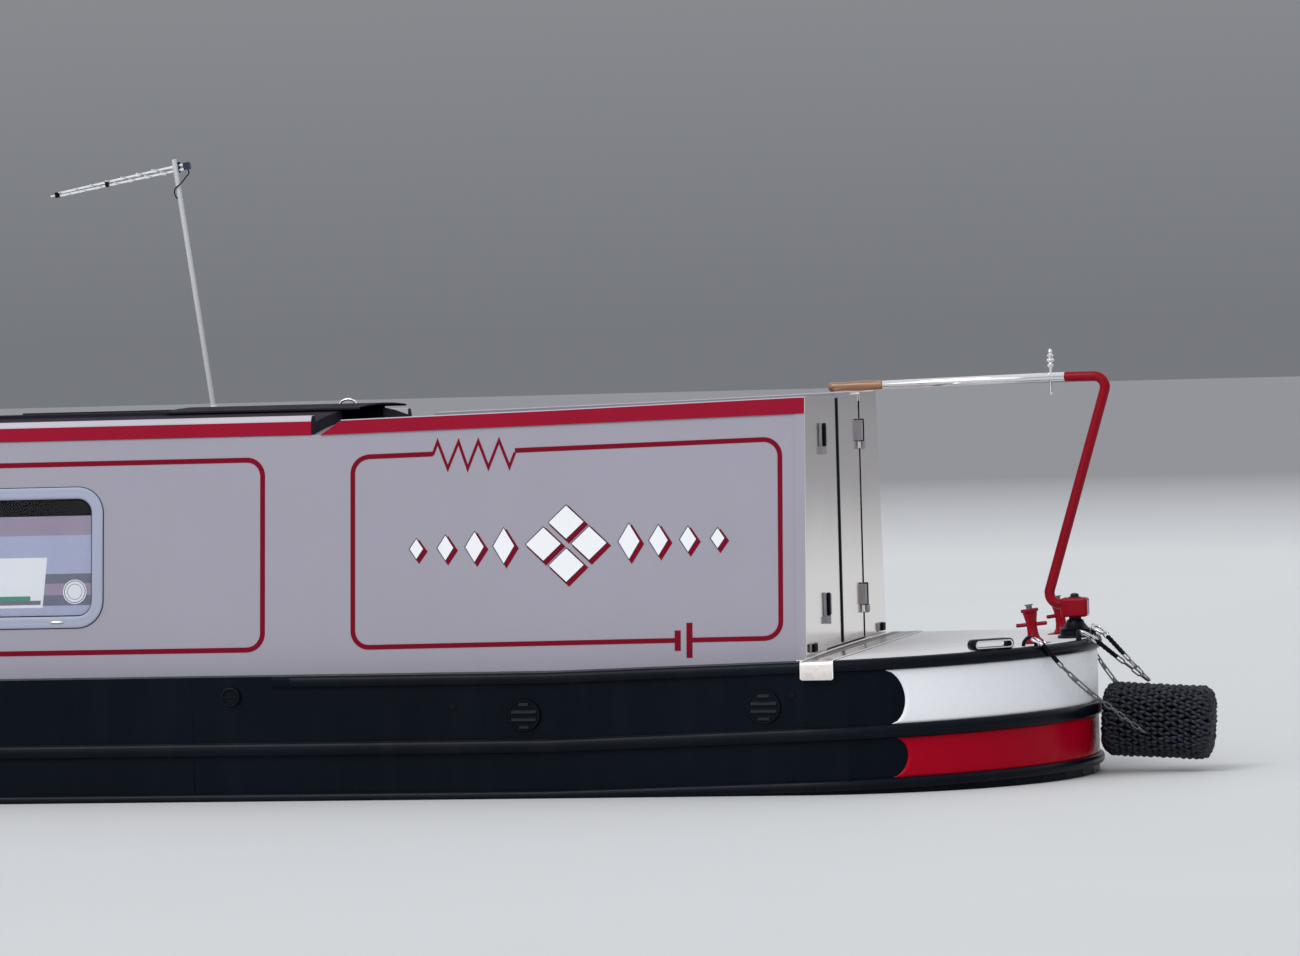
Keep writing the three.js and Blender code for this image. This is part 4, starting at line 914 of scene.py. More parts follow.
# Sections round a window: how far in from the frame's edge, and how far out from the side
FRAME_LOOPS = [(0.014, -0.034), (0.014, 0.0002), (0.0, 0.0002), (0.0, 0.0045), (0.0015, 0.0062),
               (0.005, 0.0070), (0.0200, 0.0074), (0.0222, 0.0070), (0.0244, 0.0074), (0.038, 0.0072),
               (0.0425, 0.0060), (0.046, 0.0025), (0.046, -0.010), (0.050, -0.012), (0.050, -0.034)]
GASKET_LOOPS = [(0.0445, -0.0075), (0.0445, -0.0015), (0.0475, 0.0), (0.0505, -0.0030), (0.0505, -0.0075)]
SEALANT_LOOPS = [(-0.0028, 0.0), (-0.0028, 0.0018), (0.0006, 0.0018), (0.0006, 0.0)]
PANE_LOOPS = [(0.047, -0.004), (0.047, -0.0085)]


# Plain bands of a sheet behind the first port window: foot, top, look
POSTER = [(-0.232, -0.190, "lilac"), (-0.190, -0.148, "slate"), (-0.148, -0.102, "pink"),
          (-0.102, -0.063, "slate"), (-0.063, 0.091, "lilac"), (0.091, 0.168, "pink"),
          (0.168, 0.232, "blind")]
POSTER_HALF = 0.424
# Sheets in front of it: corners across and above, look
SHEETS = [
    (((-0.080, -0.198), (0.220, -0.198), (0.239, 0.003), (-0.080, 0.003)), "sheet"),
    (((-0.060, -0.169), (0.169, -0.169), (0.169, -0.151), (-0.060, -0.151)), "green"),
    (((-0.060, -0.186), (0.211, -0.186), (0.213, -0.169), (-0.060, -0.169)), "slate"),
]
SHEET_THICK = 0.0006
DISC = {"across": 0.355, "above": -0.136, "radius": 0.049}
# Two rings on the disc: share of its radius, half width
DISC_RINGS = [(0.88, 0.0016), (0.62, 0.0011)]


def make_window_sheets():
    side, s = SIDES["port"], WINDOWS[0]
    sheets = []
    for k, (foot, top, look) in enumerate(POSTER):
        corners = [(-POSTER_HALF, foot), (POSTER_HALF, foot), (POSTER_HALF, top), (-POSTER_HALF, top)]
        sheets.append((f"poster_{k + 1}", corners, -0.0130, look))
    for k, (corners, look) in enumerate(SHEETS):
        sheets.append((f"sheet_{k + 1}", corners, -0.0110 if k else -0.0118, look))
    for name, corners, stand, look in sheets:
        faces = [[flat_place(side, s, x, z, stand + d) for x, z in corners] for d in (0, -SHEET_THICK)]
        make(f"window_{name}", Form().rings(faces), look, smooth=30)
    centre = flat_place(side, s, DISC["across"], DISC["above"], -0.0105)
    out = Vector((0, side, LEAN))
    radius = DISC["radius"]
    disc = Form().turned([(0.0, 0), (radius, 0), (radius, SHEET_THICK), (0.0, SHEET_THICK)], centre, out, 40)
    make("window_disc", disc, "sheet", smooth=30)
    rings = Form()
    for share, wire in DISC_RINGS:
        r = radius * share
        rings.rings([
            [centre + Vector((math.cos(a) * r, -side * LEAN * math.sin(a) * r, math.sin(a) * r))
             + out * 0.0007 + Vector((math.cos(a), 0, math.sin(a))) * dr + out * dz
             for dr, dz in ((-wire, 0), (wire, 0), (wire, 0.0003), (-wire, 0.0003))]
            for a in turns(48)
        ], looped=True)
    make("window_disc_rings", rings, "slate", smooth=30)


DRAIN_PLACES = (0.286, -0.286)
DRAIN_SECTION = [(-1, -1.1), (0.4, -1.1), (1.0, -0.5), (1.0, 0.4), (0.3, 1.1), (-1, 1.1)]
# A drain's cover along the frame: place, size
DRAIN_STEPS = [(-0.028, 0.0028), (-0.020, 0.0060), (0.020, 0.0060), (0.028, 0.0028)]


def make_windows():
    for name, side in SIDES.items():
        for i, s in enumerate(WINDOWS):
            label = f"{name}_{i + 1}"
            rim, gasket, drain = Form(), Form(), Form()
            for form, loops in ((rim, FRAME_LOOPS), (gasket, GASKET_LOOPS), (gasket, SEALANT_LOOPS)):
                form.rings([window_loop(side, s, *loop) for loop in loops], looped=True)
            pane = Form().rings([window_loop(side, s, *loop) for loop in PANE_LOOPS])
            for across in DRAIN_PLACES:
                middle = flat_place(side, s, across, -0.258, 0.0068)
                drain.rings([
                    [middle + Vector((dx, 0, 0)) + Vector((0, side * out * size, up * size))
                     for out, up in DRAIN_SECTION]
                    for dx, size in DRAIN_STEPS
                ])
            make(f"window_frame_{label}", rim, "frame", smooth=40,
                 stands_for=f"window_{label}")
            make(f"window_gasket_{label}", gasket, "rubber", smooth=60)
            make(f"window_glass_{label}", pane, "glass", smooth=30)
            make(f"window_drains_{label}", drain, "shackle", smooth=50)
    make_window_sheets()


# Fenders of knotted rope

def profile_walk(profile, pitch):
    """Even steps along a fender's (radius, distance) outline: radius, distance, outward."""
    lengths = [math.dist(a, b) for a, b in zip(profile, profile[1:])]
    count = max(2, round(sum(lengths) / pitch))
    out = []
    for k in range(count):
        left = sum(lengths) * (k + 0.5) / count
        for (a, b), length in zip(zip(profile, profile[1:]), lengths):
            if left <= length:
                t = left / length
                way = Vector((b[0] - a[0], b[1] - a[1])).normalized()
                out.append((a[0] + t * (b[0] - a[0]), a[1] + t * (b[1] - a[1]), way))
                break
            left -= length
    return out


ROPE = 0.0088
ROW_PITCH = 0.0265
STITCH_PITCH = 0.0205
CORE_INSET = 0.0185
CORE_END = 0.015


def knotted(name, node, profile, start, way):
    """Rows of short fat rope stitches over a near-black core, each tucked under its neighbours; the core's
    near-black is painted shade for the hollows between the stitches.
    """
    dice = random.Random(11)
    form = Form()
    axis = Vector(way).normalized()
    u = (Vector((0, 0, 1)) - axis * axis.z).normalized()
    v = axis.cross(u)
    for k, (radius, distance, run) in enumerate(profile_walk(profile, ROW_PITCH)):
        count = max(4, round(2 * math.pi * radius / STITCH_PITCH))
        first = dice.uniform(0, 1)
        for j in range(count):
            angle = 2 * math.pi * (j + first + dice.uniform(-0.16, 0.16)) / count
            lean = (0.70 if (k + j) % 2 else -0.35) * dice.uniform(0.5, 1.3)
            sunk = dice.uniform(-0.0015, 0.0030)
            reach = dice.uniform(0.50, 0.62)
            path = []
            for i in range(7):
                t = i / 6 * 2 - 1
                a = angle + lean * t * STITCH_PITCH / max(radius, 0.03) * 0.62
                depth = 0.0170 * t * t + 0.0088 + sunk
                r = radius + run.x * t * ROW_PITCH * reach - run.y * depth
                d = distance + run.y * t * ROW_PITCH * reach + run.x * depth
                path.append(Vector(start) + axis * d + (u * math.cos(a) + v * math.sin(a)) * max(r, 0.001))
            form.laid(path, ROPE, 0.35, 8)
    make(name, form, "rope", smooth=70, stands_for=node)
    # The core is near-black: painted shade where the stitches leave hollows.
    near, far = profile[0][1] + CORE_END, profile[-1][1] - CORE_END
    core = [(max(0.0, r - CORE_INSET), min(max(d, near), far)) for r, d in profile]
    make(f"{name}_core", Form().turned(core, start, way, 32), "painted_shade_core", smooth=70)


# The stern fender's near end, the middle's height there, how far it droops a metre, its flat face
FENDER_START = STERN + 1.026
FENDER_HEIGHT = WATER + 0.217
FENDER_DROOP = 0.061
FENDER_FACE = 0.096
BOW_FENDER_HEIGHT = 1.060


def make_fenders():
    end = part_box("stern_fender")[1].x
    tilt = math.atan(FENDER_DROOP)
    length = (end - FENDER_START - FENDER_FACE * math.sin(tilt)) / math.cos(tilt)
    profile = [(0.0, 0.0), (FENDER_FACE, 0.001), (0.126, 0.009), (0.142, 0.025), (0.150, 0.044),
               (0.150, length - 0.046), (0.142, length - 0.024), (0.126, length - 0.008),
               (FENDER_FACE, length), (0.0, length)]
    start = (FENDER_START, 0, FENDER_HEIGHT)
    knotted("stern_fender_rope", "stern_fender", profile, start, (1, 0, -FENDER_DROOP))
    low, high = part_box("bow_fender")
    profile = [(0.0, 0.0), (0.060, 0.001), (0.100, 0.014), (0.124, 0.042), (0.134, 0.084), (0.124, 0.132),
               (0.100, 0.160), (0.064, 0.178), (0.0, high.x - low.x)]
    knotted("bow_fender_rope", "bow_fender", profile, (high.x, 0, BOW_FENDER_HEIGHT), (-1, 0, 0))


# Chains, on the routes that the frame's chains take

LINK = {"pitch": 0.042, "wide": 0.0215, "wire": 0.0034}


def link(form, start, end, upright, wide=LINK["wide"], wire=LINK["wire"], facing=None):
    """An oval link that reaches half a lap beyond two places; facing is square to its plane."""
    way = end - start
    outer = wide / 2 - wire
    straight = (way.length + 2.12 * wire - wide) / 2
    way.normalize()
    flat = square_to(way)
    across = way.cross(flat) if upright else flat
    if facing:
        across = way.cross(facing).normalized()
    normal = way.cross(across)
    middle = (start + end) / 2
    steps = 16
    spine = []
    for i in range(steps):
        a = 2 * math.pi * (i + 0.5) / steps
        reach = math.copysign(straight, math.cos(a)) + outer * math.cos(a)
        spine.append(middle + way * reach + across * outer * math.sin(a))
    rings = []
    for i, p in enumerate(spine):
        run = (spine[(i + 1) % steps] - spine[i - 1]).normalized()
        rings.append(hoop(p, normal.cross(run), normal, wire, 8))
    form.rings(rings, looped=True)


class Route:
    """Straight stretches through places, walked by distance."""

    def __init__(self, places):
        self.points = [Vector(place) for place in places]
        self.steps = [(b - a).length for a, b in zip(self.points, self.points[1:])]
        self.length = sum(self.steps)

    def at(self, distance):
        left = distance
        for a, b, step in zip(self.points, self.points[1:], self.steps):
            if left <= step + 1e-9:
                return a.lerp(b, left / step)
            left -= step
        return self.points[-1]

    def links(self, form, start, end):
        """Links of a chain along a stretch, each a quarter turn from the last."""
        count = max(1, round((end - start) / LINK["pitch"]))
        for i in range(count):
            a, b = (self.at(start + (end - start) * (i + k) / count) for k in (0, 1))
            link(form, a, b, i % 2 == 1)


SIDE_EYE = (0.820, 0.535)
TIP_EYE = (0.967, 0.210)
BOW_EYE = (STERN - 14.06, 0.120)
HOSE_RADIUS = 0.0092
EYE_WIRE = 0.0074
EYE_ARCH = [(-0.024, -0.008), (-0.0225, 0.016), (0, 0.036), (0.0225, 0.016), (0.024, -0.008)]


def eye(form, x, y, along_boat):
    """A bar bent into an arch, welded on the deck."""
    deck = sheer(x, TOP)
    places = [
        (x + off, y, deck + rise) if along_boat else (x, y + off, deck + rise) for off, rise in EYE_ARCH
    ]
    form.tube(smooth_path(places, 6), EYE_WIRE, 14)


SHACKLE_BOW = [(1.0, 0.55), (0.80, 0.70), (0.45, 1.0), (0.12, 0.80), (0.0, 0.0)]


def shackle(form, start, end, half_wide=0.019, wire=0.0056):
    """A bow shackle from an eye to a chain: its bow round the eye, its pin across the chain's end."""
    length = (end - start).length
    way = (end - start).normalized()
    across = Vector((0, 0, 1)).cross(way).normalized()
    half = [start + way * length * t + across * half_wide * w for t, w in SHACKLE_BOW]
    other = [start + way * length * t - across * half_wide * w for t, w in reversed(SHACKLE_BOW[:-1])]
    form.tube(smooth_path(half + other, 5), wire, 12)
    form.rod(end - across * 0.0175, end + across * 0.0175, 0.0066, 14, edge=0.001)
    form.rod(end + across * 0.0175, end + across * 0.0225, 0.0090, 6, edge=0.001)


LONG_LINK_END = [(0.0, -0.011), (0.0052, -0.008), (0.0078, 0.0), (0.0072, 0.008), (0.0036, 0.019),
                 (0.0, 0.022)]


def long_link(form, start, end, facing):
    """A long narrow link with thick ends."""
    way = (end - start).normalized()
    link(form, start - way * 0.010, end + way * 0.010, False, wide=0.0215, wire=0.0036, facing=facing)
    for place, run in ((start, way), (end, -way)):
        form.turned(LONG_LINK_END, place, run, 14)


def hose(form, route, start, end):
    """A black hose over a chain, a little lumpy where the links press it out."""
    count = 18
    rings = []
    places = [route.at(start + (end - start) * i / count) for i in range(count + 1)]
    for i, (p, u, v) in enumerate(ways(places)):
        swell = HOSE_RADIUS * (1 + 0.10 * math.sin(i * 1.9)) * (0.72 if i in (0, count) else 1)
        rings.append(hoop(p, u, v, swell, 12))
    form.rings(rings)


# Places of a side chain aft of the bulkhead, from its eye to its rigging screw, and on to the fender
SIDE_UPPER = [(0.832, 0.536, 1.166), (0.868, 0.552, 1.150), (0.895, 0.523, 1.112), (0.922, 0.482, 1.068),
              (0.975, 0.422, 1.000)]
SIDE_LOWER = [(1.030, 0.359, 0.939), (1.122, 0.255, 0.852), (1.215, 0.1545, 0.765)]
TIP_ROUTE = [(0.9715, 0.207, 1.174), (1.001, 0.183, 1.158), (1.032, 0.158, 1.132), (1.102, 0.102, 1.065),
             (1.156, 0.060, 1.015), (1.214, 0.013, 0.962)]
# Places of a bow chain aft of the stem, from the fender to its eye
BOW_ROUTE = [(-0.060, 0.104, 1.1539), (-0.012, 0.108, 1.385), (0.070, 0.112, 1.392),
             (0.1415, 0.1185, 1.3334)]


def mirrored(places, side):
    return [(STERN + s, side * y, z) for s, y, z in places]


def make_side_chain(name, side, hoses, bright, long_links):
    upper = Route(mirrored(SIDE_UPPER, side))
    lower = Route(mirrored(SIDE_LOWER, side))
    form = Form()
    shackle(bright, upper.at(0.0), upper.at(0.050))
    hose(hoses, upper, 0.044, 0.160)
    upper.links(form, 0.156, upper.length)
    long_link(long_links, upper.at(upper.length), lower.at(0.0), Vector((0.3, side, 0.2)))
    lower.links(form, 0.002, lower.length)
    make(f"chain_{name}", form, "zinc", smooth=60, stands_for=f"fender_chain_{name}")


def make_tip_chains(hoses, bright):
    form = Form()
    for side in SIDES.values():
        route = Route(mirrored(TIP_ROUTE, side))
        shackle(bright, route.at(0.0), route.at(0.062), half_wide=0.021, wire=0.0062)
        link(bright, route.at(0.060), route.at(0.092), False, wide=0.025, wire=0.0042)
        hose(hoses, route, 0.086, 0.201)
        route.links(form, 0.197, route.length)
    make("chain_centre", form, "zinc", smooth=60, stands_for="fender_chain_centre")


def make_chains():
    eyes, hoses, bright, long_links = Form(), Form(), Form(), Form()
    for name, side in SIDES.items():
        make_side_chain(name, side, hoses, bright, long_links)
        eye(eyes, STERN + SIDE_EYE[0], side * SIDE_EYE[1], True)
        eye(eyes, STERN + TIP_EYE[0], side * TIP_EYE[1], False)
        form = Form()
        route = Route([(STEM + s, side * y, z) for s, y, z in BOW_ROUTE])
        route.links(form, 0, route.length)
        make(f"bow_links_{name}", form, "zinc", smooth=60, stands_for=f"bow_chain_{name}")
        eye(eyes, BOW_EYE[0], side * BOW_EYE[1], True)
    make_tip_chains(hoses, bright)
    make("deck_eyes", eyes, "guard", smooth=60)
    make("chain_hoses", hoses, "rubber", smooth=60)
    make("shackles", bright, "shackle", smooth=50)
    make("long_links", long_links, "links", smooth=50)


# Rudder and tiller

RUDDER = STERN + 0.925
NECK = [(0.8707, 1.274), (0.809, 1.274), (1.084, 2.181), (0.9095, 2.181)]
NECK_BEND = 0.044
NECK_RADIUS = 0.0207
BAR_RADIUS = 0.0172
# The turned pin through the bar, from below it
TILLER_PIN = [(0, 0), (0.004, 0.002), (0.006, 0.010), (0.005, 0.020), (0.0045, 0.080), (0.007, 0.112),
              (0.012, 0.116), (0.013, 0.121), (0.007, 0.126), (0.006, 0.130), (0.013, 0.136), (0.016, 0.141),
              (0.013, 0.146), (0.006, 0.151), (0.012, 0.156), (0.014, 0.160), (0.008, 0.165), (0.005, 0.169),
              (0.009, 0.174), (0.008, 0.180), (0, 0.188)]
GRIP = [(0, 0), (0.0175, 0.001), (0.0185, 0.012), (0.0185, 0.030), (0.0198, 0.060), (0.0203, 0.090),
        (0.0190, 0.120), (0.0172, 0.150), (0.0180, 0.180), (0.0195, 0.200), (0.0175, 0.212),
        (0.010, 0.219), (0, 0.222)]


def bent(places, radius, steps=9):
    """Straight runs through the places, with the corners bent to a radius."""
    p = [Vector(place) for place in places]
    out = [p[0]]
    for before, corner, after in zip(p, p[1:], p[2:]):
        back, on = (before - corner).normalized(), (after - corner).normalized()
        half = back.angle(on) / 2
        centre = corner + (back + on).normalized() * (radius / math.sin(half))
        first = corner + back * (radius / math.tan(half)) - centre
        last = corner + on * (radius / math.tan(half)) - centre
        out += [centre + first.slerp(last, i / steps).normalized() * radius for i in range(steps + 1)]
    return out + [p[-1]]


def make_tiller():
    neck, bar, grip = Form(), Form(), Form()
    neck.tube(bent([(STERN + s, 0, z) for s, z in NECK], NECK_BEND), NECK_RADIUS, 28)
    make("swan_neck_tube", neck, "fitting_red", "rudder", smooth=50, stands_for="swan_neck")
    bar.rod((STERN + 0.9088, 0, 2.183), (STERN + 0.170, 0, 2.167), BAR_RADIUS, 28, edge=0.001)
    bar.turned(TILLER_PIN, (STERN + 0.852, 0, 2.108), (0, 0, 1), 24)
    make("tiller_bar_polished", bar, "chrome", "rudder", smooth=45, stands_for="tiller_bar")
    grip.turned(GRIP, (STERN + 0.1695, 0, 2.167), (-1, 0, -0.022), 28)
    make("tiller_grip_turned", grip, "grip", "rudder", smooth=45, stands_for="tiller_grip")


BLADE = [(-0.150, 0.150), (-0.150, 0.520), (0.290, 0.520), (0.330, 0.480), (0.330, 0.190), (0.270, 0.120),
         (-0.120, 0.120)]
BLADE_HALF = 0.012
# The block that takes the swan neck: its foot and top
BLOCK_FOOT = 1.222
BLOCK_TOP = 1.299
BOOT = [(0.024, 0), (0.059, 0), (0.061, 0.005), (0.050, 0.012), (0.037, 0.028), (0.033, 0.040),
        (0.024, 0.044)]
NUT_CROWN = [(0.0155, 0), (0.013, 0.003), (0.007, 0.005), (0.0, 0.0055)]
FLANGE = [(0.0603, 0.0), (0.072, 0.0), (0.072, 0.008), (0.069, 0.011), (0.0622, 0.012), (0.0622, 0.0302),
          (0.0603, 0.0302)]


def make_rudder():
    up = (0, 0, 1)

    def on_stock(z):
        return RUDDER, 0, z

    block = Form().box((RUDDER - 0.054, -0.042, BLOCK_FOOT), (RUDDER + 0.054, 0.042, BLOCK_TOP))
    blade = Form().rings([[(RUDDER + x, y, z) for x, z in BLADE] for y in (-BLADE_HALF, BLADE_HALF)])
    stock = Form().rod(on_stock(0.0585), on_stock(BLOCK_FOOT + 0.002), 0.025, 24)
    stock.turned(BOOT, on_stock(1.1695), up, 32)
    nut = Form().rod(on_stock(BLOCK_TOP - 0.001), on_stock(BLOCK_TOP + 0.003), 0.025, 28, edge=0.001)
    nut.rod(on_stock(BLOCK_TOP + 0.002), on_stock(BLOCK_TOP + 0.013), 0.0185, 6, edge=0.002)
    nut.turned(NUT_CROWN, on_stock(BLOCK_TOP + 0.0125), up, 20)
    flange = Form().turned(FLANGE, on_stock(sheer(RUDDER, TOP)), up, 36)
    make("rudder_block", block, "fitting_red", "rudder", bevel=0.013, bevel_steps=4,
         stands_for="rudder")
    make("rudder_blade", blade, "black", "rudder", bevel=0.004)
    make("rudder_stock", stock, "guard", "rudder", smooth=50)
    make("rudder_nut", nut, "dark_metal", "rudder", smooth=30)
    make("rudder_flange", flange, "guard", smooth=50)


# Deck fittings

# How far each dolly stands from its CAD place, and how its pin is turned
DOLLIES = {"port": (-0.011, 0.0), "starboard": (0.003, math.radians(40))}


DOLLY = [(0.0, -0.001), (0.038, -0.001), (0.038, 0.006), (0.033, 0.011), (0.0255, 0.020), (0.0215, 0.040),
         (0.0205, 0.066), (0.0225, 0.088), (0.0275, 0.112), (0.0285, 0.120), (0.0335, 0.1225),
         (0.0350, 0.1265), (0.0350, 0.1315), (0.0335, 0.1350), (0.0, 0.1360)]
DOLLY_STUD = [(0.0, 0.1345), (0.0115, 0.1350), (0.0115, 0.1475), (0.0165, 0.1480), (0.0172, 0.1500),
              (0.0165, 0.1525), (0.0, 0.1535)]
DOLLY_LEAN = Vector((-0.125, 0, 1)).normalized()


def make_dollies():
    for name, side in SIDES.items():
        shift, turn = DOLLIES[name]
        x, y = STERN + 0.820 + shift, side * 0.340
        foot = sheer(x, TOP) + 0.004
        form = Form().turned(DOLLY, (x, y, foot), DOLLY_LEAN, 36)
        middle = Vector((x, y, foot)) + DOLLY_LEAN * 0.073
        pin = Vector((math.cos(turn), math.sin(turn), 0.085))
        form.rod(middle - pin * 0.061, middle + pin * 0.061, 0.0078, 16, edge=0.002)
        form.box((STERN + 0.770, y - 0.050, foot - 0.0045), (STERN + 0.870, y + 0.050, foot - 0.0005))
        make(f"dolly_red_{name}", form, "fitting_red", smooth=40, stands_for=f"dolly_{name}")
        stud = Form().turned(DOLLY_STUD, (x, y, foot), DOLLY_LEAN, 24)
        make(f"dolly_stud_{name}", stud, "zinc", smooth=40)


FAIRLEAD = (0.690, 0.688)
FAIRLEAD_RISE = 0.0234
# Outlines through the fairlead, from its inner face: wide, tall, corner, outward
FAIRLEAD_BODY = [(0.166, 0.021, 0.010, -0.0235), (0.190, 0.037, 0.017, -0.0240),
                 (0.196, 0.042, 0.020, -0.0205), (0.196, 0.042, 0.020, 0.0205),
                 (0.190, 0.037, 0.017, 0.0240), (0.166, 0.021, 0.010, 0.0235), (0.162, 0.018, 0.009, 0.0)]
FAIRLEAD_RIM = [(0.167, 0.0215, 0.0105, 0.0225), (0.168, 0.022, 0.011, 0.0252),
                (0.175, 0.027, 0.0132, 0.0262), (0.182, 0.032, 0.0155, 0.0252),
                (0.182, 0.032, 0.0155, 0.0225)]


def make_fairlead():
    """A closed eye near the deck's edge: black outside, with a bright rim round its black inside."""
    x, y = STERN + FAIRLEAD[0], -FAIRLEAD[1]
    turn = Matrix.Rotation(math.atan2(-FAIRLEAD[0] * 1.04, y), 4, "Z")
    middle = Vector((x, y, sheer(x, TOP) + FAIRLEAD_RISE))

    def loop(wide, tall, corner, out):
        return [middle + turn @ Vector((u, out, v)) for u, v in rounded(wide, tall, corner, 7)]

    outer = Form().rings([loop(*row) for row in FAIRLEAD_BODY], looped=True)
    make("fairlead_black", outer, "guard", smooth=50, stands_for="fairlead")
    rims = Form()
    for way in (-1, 1):
        rims.rings([loop(wide, tall, corner, way * out) for wide, tall, corner, out in FAIRLEAD_RIM],
                   looped=True)
    make("fairlead_rims", rims, "chrome", smooth=50)


# Doors and panels at the stern

HINGE_HEIGHTS = (1.310, 1.980)
# Hinge lines of the stern doors: place across, and the way to the door's free side
HINGE_LINES = {"port": (-0.450, 1), "starboard": (0.405, -1)}
HINGE_LINE_X = STERN + 0.010


# Outer faces of the fixed leaves and of the doors' leaves, aft of the bulkhead
FIXED_FACE = 0.0028
DOOR_FACE = 0.0137
BOLT = [(0.0, 0), (0.0048, 0), (0.0042, 0.0018), (0.0, 0.0026)]
# Rubber along the doors' edges: body, two corners from the bulkhead, bevel
SEALS = {
    "door_strip": ("stern_door_port", (-0.0050, -0.104, 1.140), (0.0005, -0.080, 2.120), 0.0012),
    "door_seal_port": ("stern_door_port", (-0.0335, -0.4492, 1.136), (-0.0045, -0.4472, 2.127), 0),
    "door_seal_starboard": ("hull", (-0.0335, 0.4085, 1.136), (-0.0010, 0.4108, 2.100), 0),
}


def stern_box(form, corner, opposite):
    """A box from two corners given aft of the stern bulkhead."""
    form.box(*((STERN + s, y, z) for s, y, z in (corner, opposite)))


def make_stern_hinges():
    knuckles = Form()
    for name, (y, toward) in HINGE_LINES.items():
        fixed, moving, sleeves = Form(), Form(), Form()
        for z in HINGE_HEIGHTS:
            stern_box(fixed, (-0.001, y - toward * 0.0075, z - 0.046),
                      (FIXED_FACE, y - toward * 0.047, z + 0.046))
            stern_box(moving, (-0.0052, y + toward * 0.0010, z - 0.0407),
                      (DOOR_FACE, y + toward * 0.0457, z + 0.0407))
            for form, run, face in ((fixed, -toward, FIXED_FACE), (moving, toward, DOOR_FACE)):
                for bolt in (-0.028, 0.028):
                    place = (STERN + face - 0.0006, y + run * 0.032, z + bolt)
                    form.turned(BOLT, place, (1, 0, 0), 12)
            stern_box(fixed, (-0.001, y - toward * 0.0090, z - 0.0746),
                      (0.0136, y - toward * 0.0506, z - 0.0464))
            for form, foot, top, radius in ((sleeves, -0.0448, 0.0465, 0.0080),
                                            (knuckles, -0.0770, -0.0453, 0.0084)):
                form.rod((HINGE_LINE_X, y, z + foot), (HINGE_LINE_X, y, z + top), radius, 20, edge=0.001)
        door = f"stern_door_{name}"
        make(f"stern_hinge_leaf_{name}", fixed, "hinge", bevel=0.0008)
        make(f"stern_door_leaf_{name}", moving, "hinge", door, bevel=0.0008)
        make(f"stern_door_knuckles_{name}", sleeves, "guard", door, smooth=50)
    make("stern_hinge_knuckles", knuckles, "hinge", smooth=50)


def make_door_trim():
    """Buffers that the open doors rest on, and the seals."""
    buffers, plates = Form(), Form()
    for side in SIDES.values():
        stern_box(buffers, (0.0030, side * 0.735, 1.140), (0.0165, side * 0.800, 1.172))
        stern_box(plates, (-0.001, side * 0.680, 1.138), (0.0034, side * 0.810, 1.174))
    make("door_buffers", buffers, "rubber", bevel=0.003)
    make("buffer_plates", plates, "hinge", bevel=0.0008)
    for name, (body, corner, opposite, bevel) in SEALS.items():
        form = Form()
        stern_box(form, corner, opposite)
        make(name, form, "rubber", body, bevel=bevel)


LIP_SIDE = 1.0448
LIP_FOOT = 1.046
SILL_REACH = 0.130
SILL_CORNER = 0.009
FOLD = 0.016
# The tread's height above the gunwale, and its sheet's thickness
SILL_RISE = 0.0043
SILL_SHEET = 0.0038
# Where rings of the folded sheet lie, aft of the bulkhead
SILL_STEPS = (0.0003, 0.0012, 0.0030, 0.0060, 0.0093, 0.065, 0.1210, 0.1243, 0.1270, 0.1288, 0.1298)
STEP_SIDES = (-0.455, 0.365)
STEP_TOP = 1.128


def sill_section(x, foot, skin):
    """The tread's outline across the boat, on a line this far in from its outer face."""
    deck = sheer(x, TOP) + SILL_RISE - skin
    fold = FOLD - skin
    side = LIP_SIDE - skin
    angles = [math.pi / 2 * i / 6 for i in range(7)]
    half = [(side, foot)]
    half += [(side - fold + fold * math.cos(a), deck - fold + fold * math.sin(a)) for a in angles]
    return [(x, -y, z) for y, z in half] + [(x, y, z) for y, z in reversed(half)]


def coaming_top(y):
    """Height of the strip along the tread's fore edge, which follows a camber."""
    return 1.1190 + 0.0075 * (1 - (y / 1.03) ** 2)


